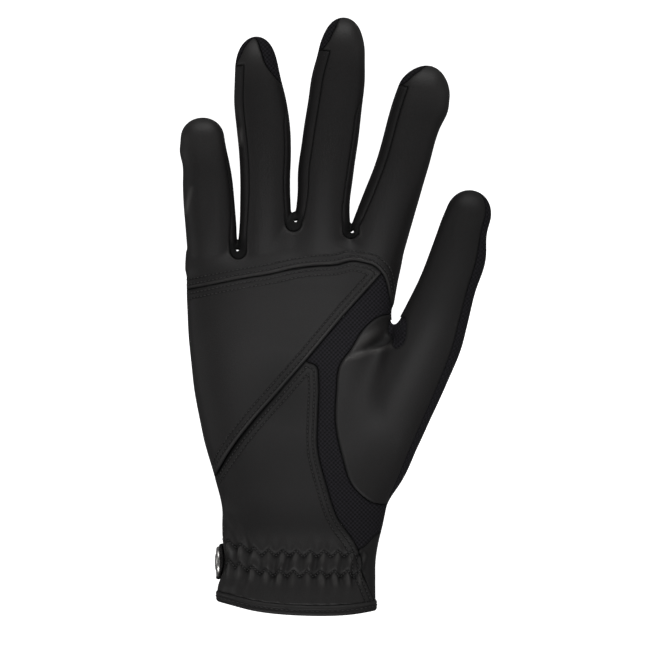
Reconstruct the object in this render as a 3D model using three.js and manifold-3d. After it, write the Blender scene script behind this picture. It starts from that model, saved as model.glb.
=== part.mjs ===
// A right-hand riding glove lying on its back, palm up, keeping the form of the hand it was made for.
// It is a hollow shell of leather and mesh, cut along its seams into the panels that are sewn together.
// Millimetres. +X points to the thumb, +Y to the fingertips, +Z up out of the palm.
// The origin is on the flat of the back, below the middle of the palm, where the glove rests.

import * as THREE from "three";
import { mergeVertices } from "three/addons/utils/BufferGeometryUtils.js";
import Module from "manifold-3d";

const wasm = await Module();
wasm.setup();

// Driving sizes of the hand.
const palmWidth = 83; // across the bases of the four fingers
const palmLength = 108; // from the wrist line to the bases of the fingers
const palmThickness = 30; // back to palm, at the heel of the hand
const wristWidth = 62;
const wristThickness = 31;
const cuffLength = 42.4; // from the wrist line down to the hem
const fingerLength = 89.2; // the middle finger, from its base to its tip
const fingerWidth = 21.6;
const fingerDepth = 20; // back to front
const thumbLength = 114.7; // from the root of the thumb, inside the palm, to its tip
const thumbWidth = 21;
const thumbThickness = 17;
const thumbLean = 20.2; // degrees from +Y towards +X
const thumbTip = 9.5; // length of its rounded end
const thumbSeamTilt = 38; // degrees that the seam between leather and mesh turns round the thumb

// Driving sizes of the making.
const wall = 1.2; // leather or mesh
const seamGap = 0.3;
const bindingHeight = 3.2; // the folded strip along the hem
const bindingProud = 0.6; // how far it stands out from the wall, inside and outside
const gatherCount = 10; // ruffles that the elastic makes across the palm side of the cuff
const gatherDepth = 1.0;
const tabWidth = 20; // the closing strap behind the wrist
const tabThickness = 1.6;
const tabReach = 18; // how far past the middle of the back it is sewn on
const snapRadius = 6.2;
const snapHeight = 2.2;
const slitWidth = 3.6; // the opening under the strap, at the hem
const slitLength = 34;
const webHoleRadius = 0.8; // the small gap that shows light at each finger crotch

const wristShare = 0.407; // how far the wrist line is below the origin, as a share of palmLength
const fingerSides = 12;
const thumbSides = 14;
const frontSides = gatherCount * 3; // three facets to a ruffle
const backSides = 14;
const beyond = 400; // reaches past the glove in any direction
const slivers = 0.09; // the smallest detail that a cut may leave

const radians = THREE.MathUtils.degToRad;
const alongPalm = (share) => (share - wristShare) * palmLength;
const wristLine = alongPalm(0);
const hemLine = wristLine - cuffLength;
const place = (across, along) => new THREE.Vector2(across * palmWidth, alongPalm(along));

// Rows of the palm, from the wrist line to the fingers: place as a share of palmLength, sides as shares of
// palmWidth, palm and back faces as shares of palmThickness.
const palmSections = [
  { along: 0.0, left: -0.323, right: 0.45, top: 1.08, bottom: 0.05 },
  { along: 0.12, left: -0.358, right: 0.49, top: 1.1, bottom: -0.02 },
  { along: 0.27, left: -0.413, right: 0.5, top: 1.07, bottom: -0.06 },
  { along: 0.43, left: -0.454, right: 0.491, top: 1.01, bottom: -0.06 },
  { along: 0.58, left: -0.478, right: 0.48, top: 0.945, bottom: -0.06 },
  { along: 0.72, left: -0.491, right: 0.486, top: 0.86, bottom: -0.05 },
  { along: 0.83, left: -0.497, right: 0.502, top: 0.775, bottom: -0.04 },
  { along: 0.92, left: -0.493, right: 0.515, top: 0.67, bottom: -0.01 },
  { along: 0.985, left: -0.47, right: 0.5, top: 0.48, bottom: 0.06 },
];

// Rows of the cuff, from the wrist line down: place as a share of cuffLength, sides as shares of wristWidth,
// faces as shares of wristThickness. Gather is the share of gatherDepth that the elastic gives there.
const cuffSections = [
  { along: 1.22, left: -0.47, right: 0.552, top: 1.05, bottom: 0.085, gather: 0.3 },
  { along: 0.86, left: -0.465, right: 0.547, top: 1.06, bottom: 0.085, gather: 0.6 },
  { along: 0.7, left: -0.461, right: 0.543, top: 1.06, bottom: 0.085, gather: 1.0 },
  { along: 0.61, left: -0.458, right: 0.542, top: 1.01, bottom: 0.085, gather: 0.7 },
  { along: 0.51, left: -0.456, right: 0.542, top: 1.06, bottom: 0.085, gather: 1.0 },
  { along: 0.41, left: -0.452, right: 0.546, top: 1.01, bottom: 0.085, gather: 0.7 },
  { along: 0.28, left: -0.442, right: 0.56, top: 1.06, bottom: 0.08, gather: 0.9 },
  { along: 0.12, left: -0.433, right: 0.583, top: 1.07, bottom: 0.07, gather: 0.2 },
];

// The four fingers. Across and along place the base, as shares of the palm. Length, width and depth are
// shares of the middle finger's, and lean is in degrees. The rest are shares of the finger's own width: bow,
// the sideways curve, distal, the width where the rounded end starts, tip, that end's length, and the flares
// at the webs.
const fingerTable = [
  {
    name: "little", across: -0.381, along: 1.0, length: 0.549, width: 0.889, depth: 0.9, lean: -3.6,
    bow: 0, distal: 0.92, tip: 0.42, flareLeft: 0, flareRight: 0.085,
  },
  {
    name: "ring", across: -0.12, along: 0.981, length: 0.935, width: 0.935, depth: 0.975, lean: -2.4,
    bow: 0.065, distal: 0.86, tip: 0.62, flareLeft: 0.055, flareRight: 0.06,
  },
  {
    name: "middle", across: 0.149, along: 1.0, length: 1.0, width: 1.0, depth: 1.0, lean: 5.9,
    bow: 0, distal: 0.85, tip: 0.58, flareLeft: 0.05, flareRight: 0.05,
  },
  {
    name: "index", across: 0.419, along: 0.95, length: 0.872, width: 0.981, depth: 1.0, lean: 15.3,
    bow: 0.042, distal: 0.94, tip: 0.5, flareLeft: 0.075, flareRight: 0,
  },
];
const fingers = fingerTable.map((row) => ({
  ...row,
  length: row.length * fingerLength,
  width: row.width * fingerWidth,
  depth: row.depth * fingerDepth,
}));

// Rows along a finger: width as a share of its width, palm face and back as shares of its depth.
const fingerRows = [
  { along: -0.22, width: 1.0, top: 0.98, bottom: 0.06, flare: 1.0 },
  { along: 0.0, width: 1.0, top: 1.04, bottom: 0.02, flare: 1.0 },
  { along: 0.14, width: 1.0, top: 1.02, bottom: 0.02, flare: 0.35 },
  { along: 0.3, width: 1.0, top: 0.98, bottom: 0.025, flare: 0.0 },
  { along: 0.55, width: 1.0, top: 0.93, bottom: 0.045, flare: 0.0 },
];
const fingerEnd = { top: 0.84, bottom: 0.07 };

// How the rounded end closes: shares of the end's own length, measured from where it starts.
const tipRows = [0.0, 0.45, 0.78];

// Rows along the thumb: shares of thumbLength, thumbWidth and thumbThickness. Side is the bend away from the
// straight line from root to tip, lift the height of the centre.
const thumbSections = [
  { along: -0.19, side: -0.2, width: 0.7, thickness: 0.8, lift: 0.86 },
  { along: -0.06, side: -0.03, width: 1.5, thickness: 1.5, lift: 0.82 },
  { along: 0.1, side: 0.05, width: 1.52, thickness: 1.6, lift: 0.92 },
  { along: 0.24, side: 0.1, width: 1.46, thickness: 1.6, lift: 1.02 },
  { along: 0.36, side: 0.15, width: 1.38, thickness: 1.52, lift: 1.12 },
  { along: 0.47, side: 0.19, width: 1.28, thickness: 1.36, lift: 1.2 },
  { along: 0.56, side: 0.2, width: 1.15, thickness: 1.2, lift: 1.25 },
  { along: 0.66, side: 0.21, width: 1.06, thickness: 1.08, lift: 1.29 },
  { along: 0.76, side: 0.2, width: 1.02, thickness: 1.02, lift: 1.32 },
  { along: 0.86, side: 0.15, width: 0.97, thickness: 0.96, lift: 1.34 },
];

// Folds pressed into the palm face: two ends as shares of the palm, width as a share of palmWidth and
// height as a share of palmThickness.
const folds = [
  { name: "hollow of the palm", from: [-0.05, 0.32], to: [0.02, 0.6], width: 0.22, height: -0.053 },
  { name: "thumb crease", from: [0.29, 0.555], to: [0.47, 0.615], width: 0.032, height: 0.045 },
  { name: "pocket above the crease", from: [0.34, 0.615], to: [0.46, 0.65], width: 0.041, height: -0.087 },
  { name: "heel fold", from: [-0.31, 0.02], to: [-0.2, -0.13], width: 0.032, height: 0.037 },
];

// Seams, as rows of shares of the palm.
const fingerSeam = [[-0.6, 0.815], [-0.366, 0.83], [-0.226, 0.859], [-0.083, 0.879], [0.13, 0.905],
  [0.3, 0.919], [0.4, 0.911], [0.452, 0.875], [0.478, 0.79], [0.501, 0.7], [0.51, 0.66]];
const diagonalSeam = [[-0.42, 0.04], [-0.352, 0.14], [-0.217, 0.303], [-0.077, 0.429], [0.077, 0.555],
  [0.255, 0.736], [0.41, 0.83], [0.49, 0.87]];
const heelSeam = [[0.05, 0.61], [0.077, 0.555], [0.128, 0.537], [0.139, 0.481], [0.136, 0.37],
  [0.134, 0.237], [0.178, 0.096], [0.23, -0.02], [0.304, -0.102], [0.342, -0.165], [0.345, -0.21],
  [0.37, -0.26], [0.43, -0.38]];
const thumbSeam = [[0.52, 0.73], [0.42, 0.712], [0.343, 0.66], [0.293, 0.597], [0.244, 0.546],
  [0.223, 0.433], [0.219, 0.33], [0.25, 0.209], [0.303, 0.096], [0.376, 0.044], [0.62, 0.03]];
const thumbBackSeam = [[0.52, 0.73], [0.44, 0.5], [0.41, 0.26], [0.43, 0.08], [0.62, 0.03]];
const cuffSideSeam = [[0.66, -0.055], [0.43, -0.075], [0.347, -0.13], [0.27, -0.15]];
const cuffBackSeam = -0.055;
const gusset = { across: 0.513, along: 0.655, width: 0.06, length: 0.1 };

// Where the palm face meets the back, round the edge of the hand: place along +Y and height.
const edgeSeam = [
  { along: -2.0, height: 0.43 }, { along: 0.0, height: 0.42 }, { along: 0.55, height: 0.37 },
  { along: 1.0, height: 0.28 }, { along: 1.45, height: 0.25 }, { along: 2.6, height: 0.22 },
];

// The strips between the fingers, on the left and the right side of a finger. Top, bottom and taper are
// shares of the finger's depth, end is a share of its length, and shoulder is where the taper starts.
const strip = {
  left: { top: 0.87, end: 0.84 },
  right: { top: 0.78, end: 0.68 },
  bottom: 0.24, taper: 0.06, shoulder: 0.8,
};
const stripReach = { inside: 0.28, outside: 0.6 }; // shares of the finger's width
const crotches = [0.935, 1.015, 0.975]; // where each begins, along the palm, from the little finger's

// The closing strap and its snap, beside the cuff: shares of cuffLength below the wrist line and of
// wristThickness, and the snap's profile from rim to middle as shares of its radius and height.
const snapPlace = { along: 0.477, height: 0.53 };
const snapRows = [
  { radius: 1.0, height: 0.5 }, { radius: 0.93, height: 0.72 }, { radius: 0.78, height: 0.78 },
  { radius: 0.7, height: 0.7 }, { radius: 0.45, height: 0.94 }, { radius: 0.0, height: 1.0 },
];

// The hem, a shallow curve that is lowest past the middle: shares of wristWidth and of cuffLength.
const hemRows = [
  { across: -0.75, rise: 0.19 }, { across: -0.46, rise: 0.16 }, { across: -0.2, rise: 0.05 },
  { across: 0.11, rise: 0.0 }, { across: 0.38, rise: 0.02 }, { across: 0.55, rise: 0.07 },
  { across: 0.8, rise: 0.09 },
];

const leather = new THREE.MeshStandardMaterial({ color: 0x262626, roughness: 0.55, metalness: 0 });
const mesh = new THREE.MeshStandardMaterial({ color: 0x141416, roughness: 0.9, metalness: 0 });
const steel = new THREE.MeshStandardMaterial({ color: 0xc9c9c6, roughness: 0.3, metalness: 1 });

// Turns a three.js geometry into a solid, facing out.
function solidOf(geometry) {
  const bare = geometry.index ? geometry.toNonIndexed() : geometry.clone();
  const places = new THREE.BufferGeometry().setAttribute("position", bare.getAttribute("position"));
  const merged = mergeVertices(places, 1e-4);
  return new wasm.Manifold(new wasm.Mesh({
    numProp: 3,
    vertProperties: merged.attributes.position.array,
    triVerts: new Uint32Array(merged.index.array),
  }));
}

// Closes up every edge that is shorter than reach, where its two ends share just the two triangles beside it.
function closeShortEdges(positions, triangles, reach) {
  const corner = (i) => new THREE.Vector3().fromArray(positions, 3 * i);
  for (let open = true; open;) {
    const around = new Map(triangles.flat().map((i) => [i, new Set()]));
    triangles.forEach((triangle) => triangle.forEach((i) => triangle.forEach((j) => around.get(i).add(j))));
    const merged = new Map();
    const settled = new Set();
    around.forEach((near, i) => near.forEach((j) => {
      const beside = [...near].filter((k) => k !== i && k !== j && around.get(j).has(k));
      const touched = [...near, ...around.get(j)];
      const short = i < j && corner(i).distanceTo(corner(j)) < reach && beside.length === 2;
      if (short && !touched.some((k) => settled.has(k))) {
        touched.forEach((k) => settled.add(k));
        merged.set(j, i);
      }
    }));
    triangles = triangles
      .map((triangle) => triangle.map((i) => merged.get(i) ?? i))
      .filter(([i, j, k]) => i !== j && j !== k && k !== i);
    open = merged.size > 0;
  }
  return triangles;
}

// Turns a solid back into a geometry. What a cut leaves as slivers is closed up first.
function geometryOf(solid) {
  const made = solid.simplify(slivers).getMesh();
  const positions = new Float32Array(made.numVert * 3);
  const triangles = [];
  for (let i = 0; i < made.numVert; i++) {
    positions.set(made.vertProperties.subarray(i * made.numProp, i * made.numProp + 3), i * 3);
  }
  for (let t = 0; t < made.triVerts.length; t += 3) {
    triangles.push([...made.triVerts.subarray(t, t + 3)]);
  }
  const whole = new THREE.BufferGeometry()
    .setAttribute("position", new THREE.BufferAttribute(positions, 3))
    .setIndex(closeShortEdges(positions, triangles, slivers / 4).flat());
  return mergeVertices(whole.toNonIndexed(), slivers / 1000);
}

// The largest body of a cut solid, without the crumbs that a seam leaves where it runs off the edge.
function mainBody(solid) {
  return solid.decompose().reduce((best, body) => (body.volume() > best.volume() ? body : best));
}

// A closed skin through rings of equal count, with a fan at each end.
function loftOf(rings) {
  const count = rings[0].length;
  const ends = [rings[0], rings.at(-1)].map((ring) => {
    const sum = ring.reduce((total, point) => total.add(point), new THREE.Vector3());
    return sum.divideScalar(count);
  });
  const positions = [...rings.flat(), ...ends].flatMap((point) => point.toArray());
  const [startPole, endPole] = [rings.length * count, rings.length * count + 1];
  const faces = [];
  for (let i = 0; i < count; i++) {
    const next = (i + 1) % count;
    faces.push(startPole, i, next);
    for (let r = 0; r < rings.length - 1; r++) {
      const [a, b] = [r * count + i, r * count + next];
      faces.push(a, a + count, b, b, a + count, b + count);
    }
    const last = (rings.length - 1) * count;
    faces.push(endPole, last + next, last + i);
  }
  return new THREE.BufferGeometry()
    .setAttribute("position", new THREE.Float32BufferAttribute(positions, 3))
    .setIndex(faces);
}

// How far the folds lift a point of the palm face.
function foldHeight(x, y) {
  return folds.reduce((total, fold) => {
    const [from, to] = [place(...fold.from), place(...fold.to)];
    const nearest = new THREE.Vector2(x, y).sub(from);
    const line = to.clone().sub(from);
    const share = THREE.MathUtils.clamp(nearest.dot(line) / line.lengthSq(), 0, 1);
    const away = nearest.sub(line.multiplyScalar(share)).length();
    const fading = Math.exp(-((away / (fold.width * palmWidth)) ** 2));
    return total + fold.height * palmThickness * fading;
  }, 0);
}

// A section's ring, squared off like a filled sleeve and flat where it meets the floor. Offset moves it out.
function ringOf({ left, right, top, bottom, gather = 0, squareness = 2.4 }, angles, offset) {
  const halfWidth = (right - left) / 2 + offset;
  const halfHeight = (top - bottom) / 2 + offset;
  return angles.map((angle) => {
    const [c, s] = [Math.cos(angle), Math.sin(angle)];
    const across = Math.sign(c) * Math.abs(c) ** (2 / squareness) * halfWidth;
    const up = Math.sign(s) * Math.abs(s) ** (2 / squareness) * halfHeight;
    const ruffle = s > 0 ? gather * s * Math.cos(2 * gatherCount * angle) : 0;
    const height = Math.max((top + bottom) / 2 + up + ruffle, -offset);
    return { across: (left + right) / 2 + across, height, facing: Math.max(0, s) };
  });
}

const evenAngles = (count) => Array.from({ length: count }, (_, i) => (2 * Math.PI * i) / count);
const palmAngles = [
  ...Array.from({ length: frontSides }, (_, i) => (Math.PI * i) / frontSides),
  ...Array.from({ length: backSides }, (_, i) => Math.PI * (1 + i / backSides)),
];

// Palm and cuff in one skin.
function palmLoft(offset) {
  const rows = [
    ...cuffSections.map((row) => ({
      y: wristLine - row.along * cuffLength,
      left: row.left * wristWidth,
      right: row.right * wristWidth,
      top: row.top * wristThickness,
      bottom: row.bottom * wristThickness,
      gather: row.gather * gatherDepth,
      squareness: 2.5,
    })),
    ...palmSections.map((row) => ({
      y: alongPalm(row.along),
      left: row.left * palmWidth,
      right: row.right * palmWidth,
      top: row.top * palmThickness,
      bottom: row.bottom * palmThickness,
      squareness: 2.7,
    })),
  ];
  const pointOf = (row) => ({ across, height, facing }) => (
    new THREE.Vector3(across, row.y, height + facing * foldHeight(across, row.y))
  );
  return solidOf(loftOf(rows.map((row) => ringOf(row, palmAngles, offset).map(pointOf(row)))));
}

// The frame of a finger: where its base is, and the directions along it and across it.
function fingerFrame(finger) {
  const lean = radians(finger.lean);
  return {
    base: place(finger.across, finger.along),
    along: new THREE.Vector2(Math.sin(lean), Math.cos(lean)),
    across: new THREE.Vector2(Math.cos(lean), -Math.sin(lean)),
  };
}

function fingerLoft(finger, offset) {
  const { base, along, across } = fingerFrame(finger);
  const half = finger.width / 2;
  const endLength = finger.tip * finger.width;
  const endStart = 1 - endLength / finger.length;
  const rows = fingerRows.map((row) => {
    const narrowing = THREE.MathUtils.lerp(1, finger.distal, Math.max(0, row.along) / endStart);
    return {
      share: row.along,
      left: -half * row.width * narrowing - row.flare * finger.flareLeft * finger.width,
      right: half * row.width * narrowing + row.flare * finger.flareRight * finger.width,
      top: row.top * finger.depth,
      bottom: row.bottom * finger.depth,
    };
  });
  const [endTop, endBottom] = [fingerEnd.top * finger.depth, fingerEnd.bottom * finger.depth];
  const tipLength = endLength + offset;
  tipRows.forEach((row) => {
    const round = Math.sqrt(1 - row ** 2);
    const middle = (endTop + endBottom) / 2;
    rows.push({
      share: endStart + (row * tipLength) / finger.length,
      left: -half * finger.distal * round,
      right: half * finger.distal * round,
      top: middle + ((endTop - endBottom) / 2) * round,
      bottom: middle - ((endTop - endBottom) / 2) * round,
      shrink: round,
    });
  });
  const rings = rows.map((row) => {
    const bend = finger.bow * finger.width * Math.sin(Math.PI * Math.max(0, row.share));
    const centre = base.clone()
      .addScaledVector(along, row.share * finger.length)
      .addScaledVector(across, bend);
    return ringOf(row, evenAngles(fingerSides), offset * (row.shrink ?? 1)).map((point) => {
      const spot = centre.clone().addScaledVector(across, point.across);
      return new THREE.Vector3(spot.x, spot.y, point.height);
    });
  });
  rings.push(tipRing(rings.at(-1), base.clone().addScaledVector(along, finger.length + offset)));
  return solidOf(loftOf(rings));
}

// The last small ring, at the very end of a rounded tip.
function tipRing(ring, end) {
  const middle = ring
    .reduce((total, point) => total.add(point), new THREE.Vector3())
    .divideScalar(ring.length);
  return ring.map((point) => new THREE.Vector3(
    end.x + (point.x - middle.x) * 0.15,
    end.y + (point.y - middle.y) * 0.15,
    middle.z + (point.z - middle.z) * 0.15,
  ));
}

const thumbFrame = {
  root: place(0.39, 0.185),
  along: new THREE.Vector2(Math.sin(radians(thumbLean)), Math.cos(radians(thumbLean))),
  across: new THREE.Vector2(Math.cos(radians(thumbLean)), -Math.sin(radians(thumbLean))),
};

function thumbLoft(offset) {
  const { root, along, across } = thumbFrame;
  const last = thumbSections.at(-1);
  const endStart = 1 - thumbTip / thumbLength;
  const rows = [
    ...thumbSections.map((row) => ({ ...row, round: 1 })),
    ...tipRows.map((row) => ({
      ...last,
      along: endStart + (row * (thumbTip + offset)) / thumbLength,
      side: last.side * (1 - row * 0.7),
      round: 0.98 * Math.sqrt(1 - row ** 2),
    })),
  ];
  const rings = rows.map((row) => {
    const centre = root.clone().addScaledVector(along, row.along * thumbLength)
      .addScaledVector(across, row.side * thumbWidth);
    const halfWidth = (row.width * thumbWidth * row.round) / 2;
    const halfThickness = (row.thickness * thumbThickness * row.round) / 2;
    const middle = row.lift * thumbThickness;
    const section = {
      left: -halfWidth,
      right: halfWidth,
      top: middle + halfThickness,
      bottom: middle - halfThickness,
      squareness: 2.2,
    };
    const ring = ringOf(section, evenAngles(thumbSides), offset * row.round);
    return ring.map(({ across: side, height, facing }) => {
      const spot = centre.clone().addScaledVector(across, side);
      return new THREE.Vector3(spot.x, spot.y, height + facing * foldHeight(spot.x, spot.y));
    });
  });
  rings.push(tipRing(rings.at(-1), root.clone().addScaledVector(along, thumbLength + offset)));
  return solidOf(loftOf(rings));
}

const handForm = (offset) => fingers.reduce(
  (form, finger) => form.add(fingerLoft(finger, offset)),
  palmLoft(offset).add(thumbLoft(offset)),
);

// A prism of an outline drawn in the XY plane.
function prismUp(points, low = -beyond, high = beyond) {
  const shape = new THREE.Shape(THREE.ShapeUtils.isClockWise(points) ? [...points].reverse() : points);
  const geometry = new THREE.ExtrudeGeometry(shape, { depth: high - low, bevelEnabled: false, steps: 1 });
  return solidOf(geometry.translate(0, 0, low));
}

// A prism of an outline drawn as (along, height), pushed through sideways from near to far.
function prismSideways(points, near, far, origin, along) {
  const shape = new THREE.Shape(THREE.ShapeUtils.isClockWise(points) ? [...points].reverse() : points);
  const geometry = new THREE.ExtrudeGeometry(shape, { depth: far - near, bevelEnabled: false, steps: 1 });
  const direction = new THREE.Vector3(along.x, along.y, 0);
  const up = new THREE.Vector3(0, 0, 1);
  const sideways = direction.clone().cross(up);
  geometry.translate(0, 0, near);
  geometry.applyMatrix4(new THREE.Matrix4().makeBasis(direction, up, sideways));
  return solidOf(geometry.translate(origin.x, origin.y, 0));
}

const northward = new THREE.Vector2(0, 1);
const smooth = (rows, steps) => new THREE.SplineCurve(rows.map((row) => place(...row))).getPoints(steps);

// The thin slot that a seam leaves between two panels.
function ribbon(points) {
  const sides = [1, -1].map((side) => points.map((point, i) => {
    const before = points[Math.max(i - 1, 0)];
    const after = points[Math.min(i + 1, points.length - 1)];
    const direction = after.clone().sub(before).normalize();
    return point.clone().addScaledVector(new THREE.Vector2(-direction.y, direction.x), (side * seamGap) / 2);
  }));
  return prismUp([...sides[0], ...sides[1].reverse()]);
}

// The lower side of the seam round the edge of the hand, drawn up or down by half a gap.
function belowEdge(shift) {
  const top = edgeSeam.map((row) => (
    new THREE.Vector2(alongPalm(row.along), row.height * palmThickness + shift)
  ));
  const outline = [...top, new THREE.Vector2(top.at(-1).x, -beyond), new THREE.Vector2(top[0].x, -beyond)];
  return prismSideways(outline, -beyond, beyond, new THREE.Vector2(), northward);
}

// What lies under the thumb's own seam, a plane that turns round the thumb.
function belowThumbSeam(shift) {
  const first = thumbSections[2];
  const last = thumbSections.at(-1);
  const rise = ((last.lift - first.lift) * thumbThickness) / ((last.along - first.along) * thumbLength);
  const half = new THREE.BoxGeometry(beyond, beyond, beyond).translate(0, 0, -beyond / 2 + shift);
  half.rotateY(-radians(thumbSeamTilt));
  half.rotateX(Math.atan(rise));
  half.rotateZ(-radians(thumbLean));
  const middle = thumbFrame.root.clone()
    .addScaledVector(thumbFrame.along, first.along * thumbLength)
    .addScaledVector(thumbFrame.across, ((first.side + last.side) / 2) * thumbWidth);
  return solidOf(half.translate(middle.x, middle.y, first.lift * thumbThickness));
}

// The wedge of wall that one strip takes from the side of a finger.
function stripCutter(finger, side, crotch, grow) {
  const { base, along } = fingerFrame(finger);
  const start = (alongPalm(crotch) - base.y) / along.y - grow;
  const end = strip[side].end * finger.length + 4 * grow;
  const high = strip[side].top * finger.depth;
  const low = strip.bottom * finger.depth;
  const taper = strip.taper * finger.depth;
  const shoulder = THREE.MathUtils.lerp(start, end, strip.shoulder);
  const outline = [
    new THREE.Vector2(start, low - grow),
    new THREE.Vector2(shoulder, low + taper - grow),
    new THREE.Vector2(end, (high + low) / 2 - taper),
    new THREE.Vector2(shoulder, high - taper + grow),
    new THREE.Vector2(start, high + grow),
  ];
  const near = stripReach.inside * finger.width - grow;
  const far = stripReach.outside * finger.width;
  return side === "right"
    ? prismSideways(outline, near, far, base, along)
    : prismSideways(outline, -far, -near, base, along);
}

function stripBetween(index, grow) {
  return stripCutter(fingers[index], "right", crotches[index], grow)
    .add(stripCutter(fingers[index + 1], "left", crotches[index], grow));
}

// The small gap at the bottom of a crotch, between the two sides of a strip.
function webHole(index) {
  const y = alongPalm(crotches[index]) + 4 * webHoleRadius;
  const edgeOf = (finger, side) => {
    const { base, along } = fingerFrame(finger);
    return base.x + ((y - base.y) * along.x) / along.y + (side * finger.width) / 2;
  };
  const middle = (edgeOf(fingers[index], 1) + edgeOf(fingers[index + 1], -1)) / 2;
  const hole = new THREE.CylinderGeometry(webHoleRadius, webHoleRadius, beyond, 8).rotateX(Math.PI / 2);
  return solidOf(hole.translate(middle, y, 0));
}

// What lies below the hem, or below a line parallel to it.
function belowHem(raise) {
  const points = hemRows.map((row) => (
    new THREE.Vector2(row.across * wristWidth, hemLine + row.rise * cuffLength + raise)
  ));
  return prismUp([
    ...new THREE.SplineCurve(points).getPoints(18),
    new THREE.Vector2(beyond, -beyond),
    new THREE.Vector2(-beyond, -beyond),
  ]);
}

// What lies below a seam: the seam's own points, closed far outside the glove.
const below = (seam, ...corners) => prismUp([
  ...seam, ...corners.map(([x, y]) => new THREE.Vector2(x * beyond, y * beyond)),
]);

const curves = {
  finger: smooth(fingerSeam, 18),
  diagonal: smooth(diagonalSeam, 11),
  heel: smooth(heelSeam, 22),
  thumb: smooth(thumbSeam, 18),
  thumbBack: smooth(thumbBackSeam, 10),
  cuffSide: smooth(cuffSideSeam, 8),
  cuffBack: [-beyond, beyond].map((x) => new THREE.Vector2(x, alongPalm(cuffBackSeam))),
};

// The outline between the thumb and the index finger, up through the open gap.
const thumbRim = [
  new THREE.Vector2(beyond, alongPalm(0.03)), new THREE.Vector2(beyond, alongPalm(1.4)),
  new THREE.Vector2(0.8 * palmWidth, alongPalm(1.33)), new THREE.Vector2(0.62 * palmWidth, alongPalm(0.98)),
];
const thumbRegion = prismUp([...curves.thumb, ...thumbRim]);
const thumbBackRegion = prismUp([...curves.thumbBack, ...thumbRim]);
const [frontEdge, backEdge] = [belowEdge(seamGap / 2), belowEdge(-seamGap / 2)];

const skin = handForm(0).subtract(handForm(-wall));
const trimmed = skin.subtract(belowHem(bindingHeight + seamGap));

// The strips between the fingers, with the small gap at the bottom of each crotch.
const holes = crotches.map((_, index) => webHole(index)).reduce((sum, hole) => sum.add(hole));
const strips = crotches.map((_, index) => trimmed.intersect(stripBetween(index, 0)).subtract(holes));
const unstripped = crotches
  .reduce((rest, _, index) => rest.subtract(stripBetween(index, seamGap)), trimmed)
  .subtract(holes);

// The gusset in the crotch of the thumb.
const gussetPrism = (grow) => {
  const middle = place(gusset.across, gusset.along);
  const halfWidth = (gusset.width * palmWidth) / 2 + grow;
  const halfLength = (gusset.length * palmLength) / 2 + grow;
  return prismUp([[-1, -1], [1, -1], [1, 1], [-1, 1]].map(([x, y]) => (
    new THREE.Vector2(middle.x + x * halfWidth, middle.y + y * halfLength)
  )));
};
const thumbGusset = unstripped.intersect(gussetPrism(0)).subtract(frontEdge);
const open = unstripped.subtract(gussetPrism(seamGap).subtract(backEdge));

// The thumb: leather above its seam and mesh below it.
const underHand = frontEdge.subtract(thumbBackRegion);
const thumbFront = open.intersect(thumbRegion).subtract(belowThumbSeam(seamGap / 2)).subtract(underHand)
  .subtract(ribbon(curves.thumb));
const thumbBack = open.intersect(thumbBackRegion).intersect(belowThumbSeam(-seamGap / 2))
  .subtract(ribbon(curves.thumbBack));

// The palm face, cut along its seams from the fingers down.
const palmFace = open.subtract(frontEdge).subtract(thumbRegion).subtract(ribbon(curves.thumb));
const cut = (panel, seam, region) => [panel.intersect(region), panel.subtract(region)]
  .map((part) => part.subtract(ribbon(seam)));
const [fingerFront, belowFingers] = cut(palmFace, curves.finger, below(curves.finger, [1, 1], [-1, 1]));
const [palmPanel, lowerPalm] = cut(belowFingers, curves.diagonal, below(curves.diagonal, [1, 1], [-1, 1]));
const heelRegion = below(curves.heel, [0, -1], [-1, -1], [-1, 1]);
const [heelPanel, besideHeel] = cut(lowerPalm, curves.heel, heelRegion);
const cuffSide = below(curves.cuffSide, [-1, -1], [1, -1]);
const meshInsert = besideHeel.subtract(cuffSide).subtract(ribbon(curves.cuffSide));

// The back, and the cuff's back, which comes round to the palm face beside the heel.
const backFace = open.intersect(backEdge).subtract(thumbBackRegion).subtract(ribbon(curves.thumbBack));
const cuffZone = below(curves.cuffBack, [1, -1], [-1, -1]);
const backPanel = backFace.subtract(cuffZone).subtract(ribbon(curves.cuffBack));
const slitCorners = [
  { side: -0.5, y: hemLine - cuffLength }, { side: 0.5, y: hemLine - cuffLength },
  { side: 0.2, y: hemLine + slitLength }, { side: -0.2, y: hemLine + slitLength },
].map(({ side, y }) => new THREE.Vector2(side * slitWidth, y));
const slit = prismUp(slitCorners, -beyond, wristThickness / 2);
const cuffBack = open.intersect(cuffZone).intersect(backEdge.add(cuffSide.subtract(heelRegion)))
  .subtract(ribbon(curves.cuffBack).intersect(backEdge))
  .subtract(ribbon(curves.heel).subtract(backEdge))
  .subtract(ribbon(curves.cuffSide).subtract(backEdge))
  .subtract(slit);

// The binding round the hem, thicker than the wall that it closes.
const hemBinding = palmLoft(bindingProud).subtract(palmLoft(-wall - bindingProud))
  .intersect(belowHem(bindingHeight)).subtract(belowHem(0)).subtract(slit);

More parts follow.
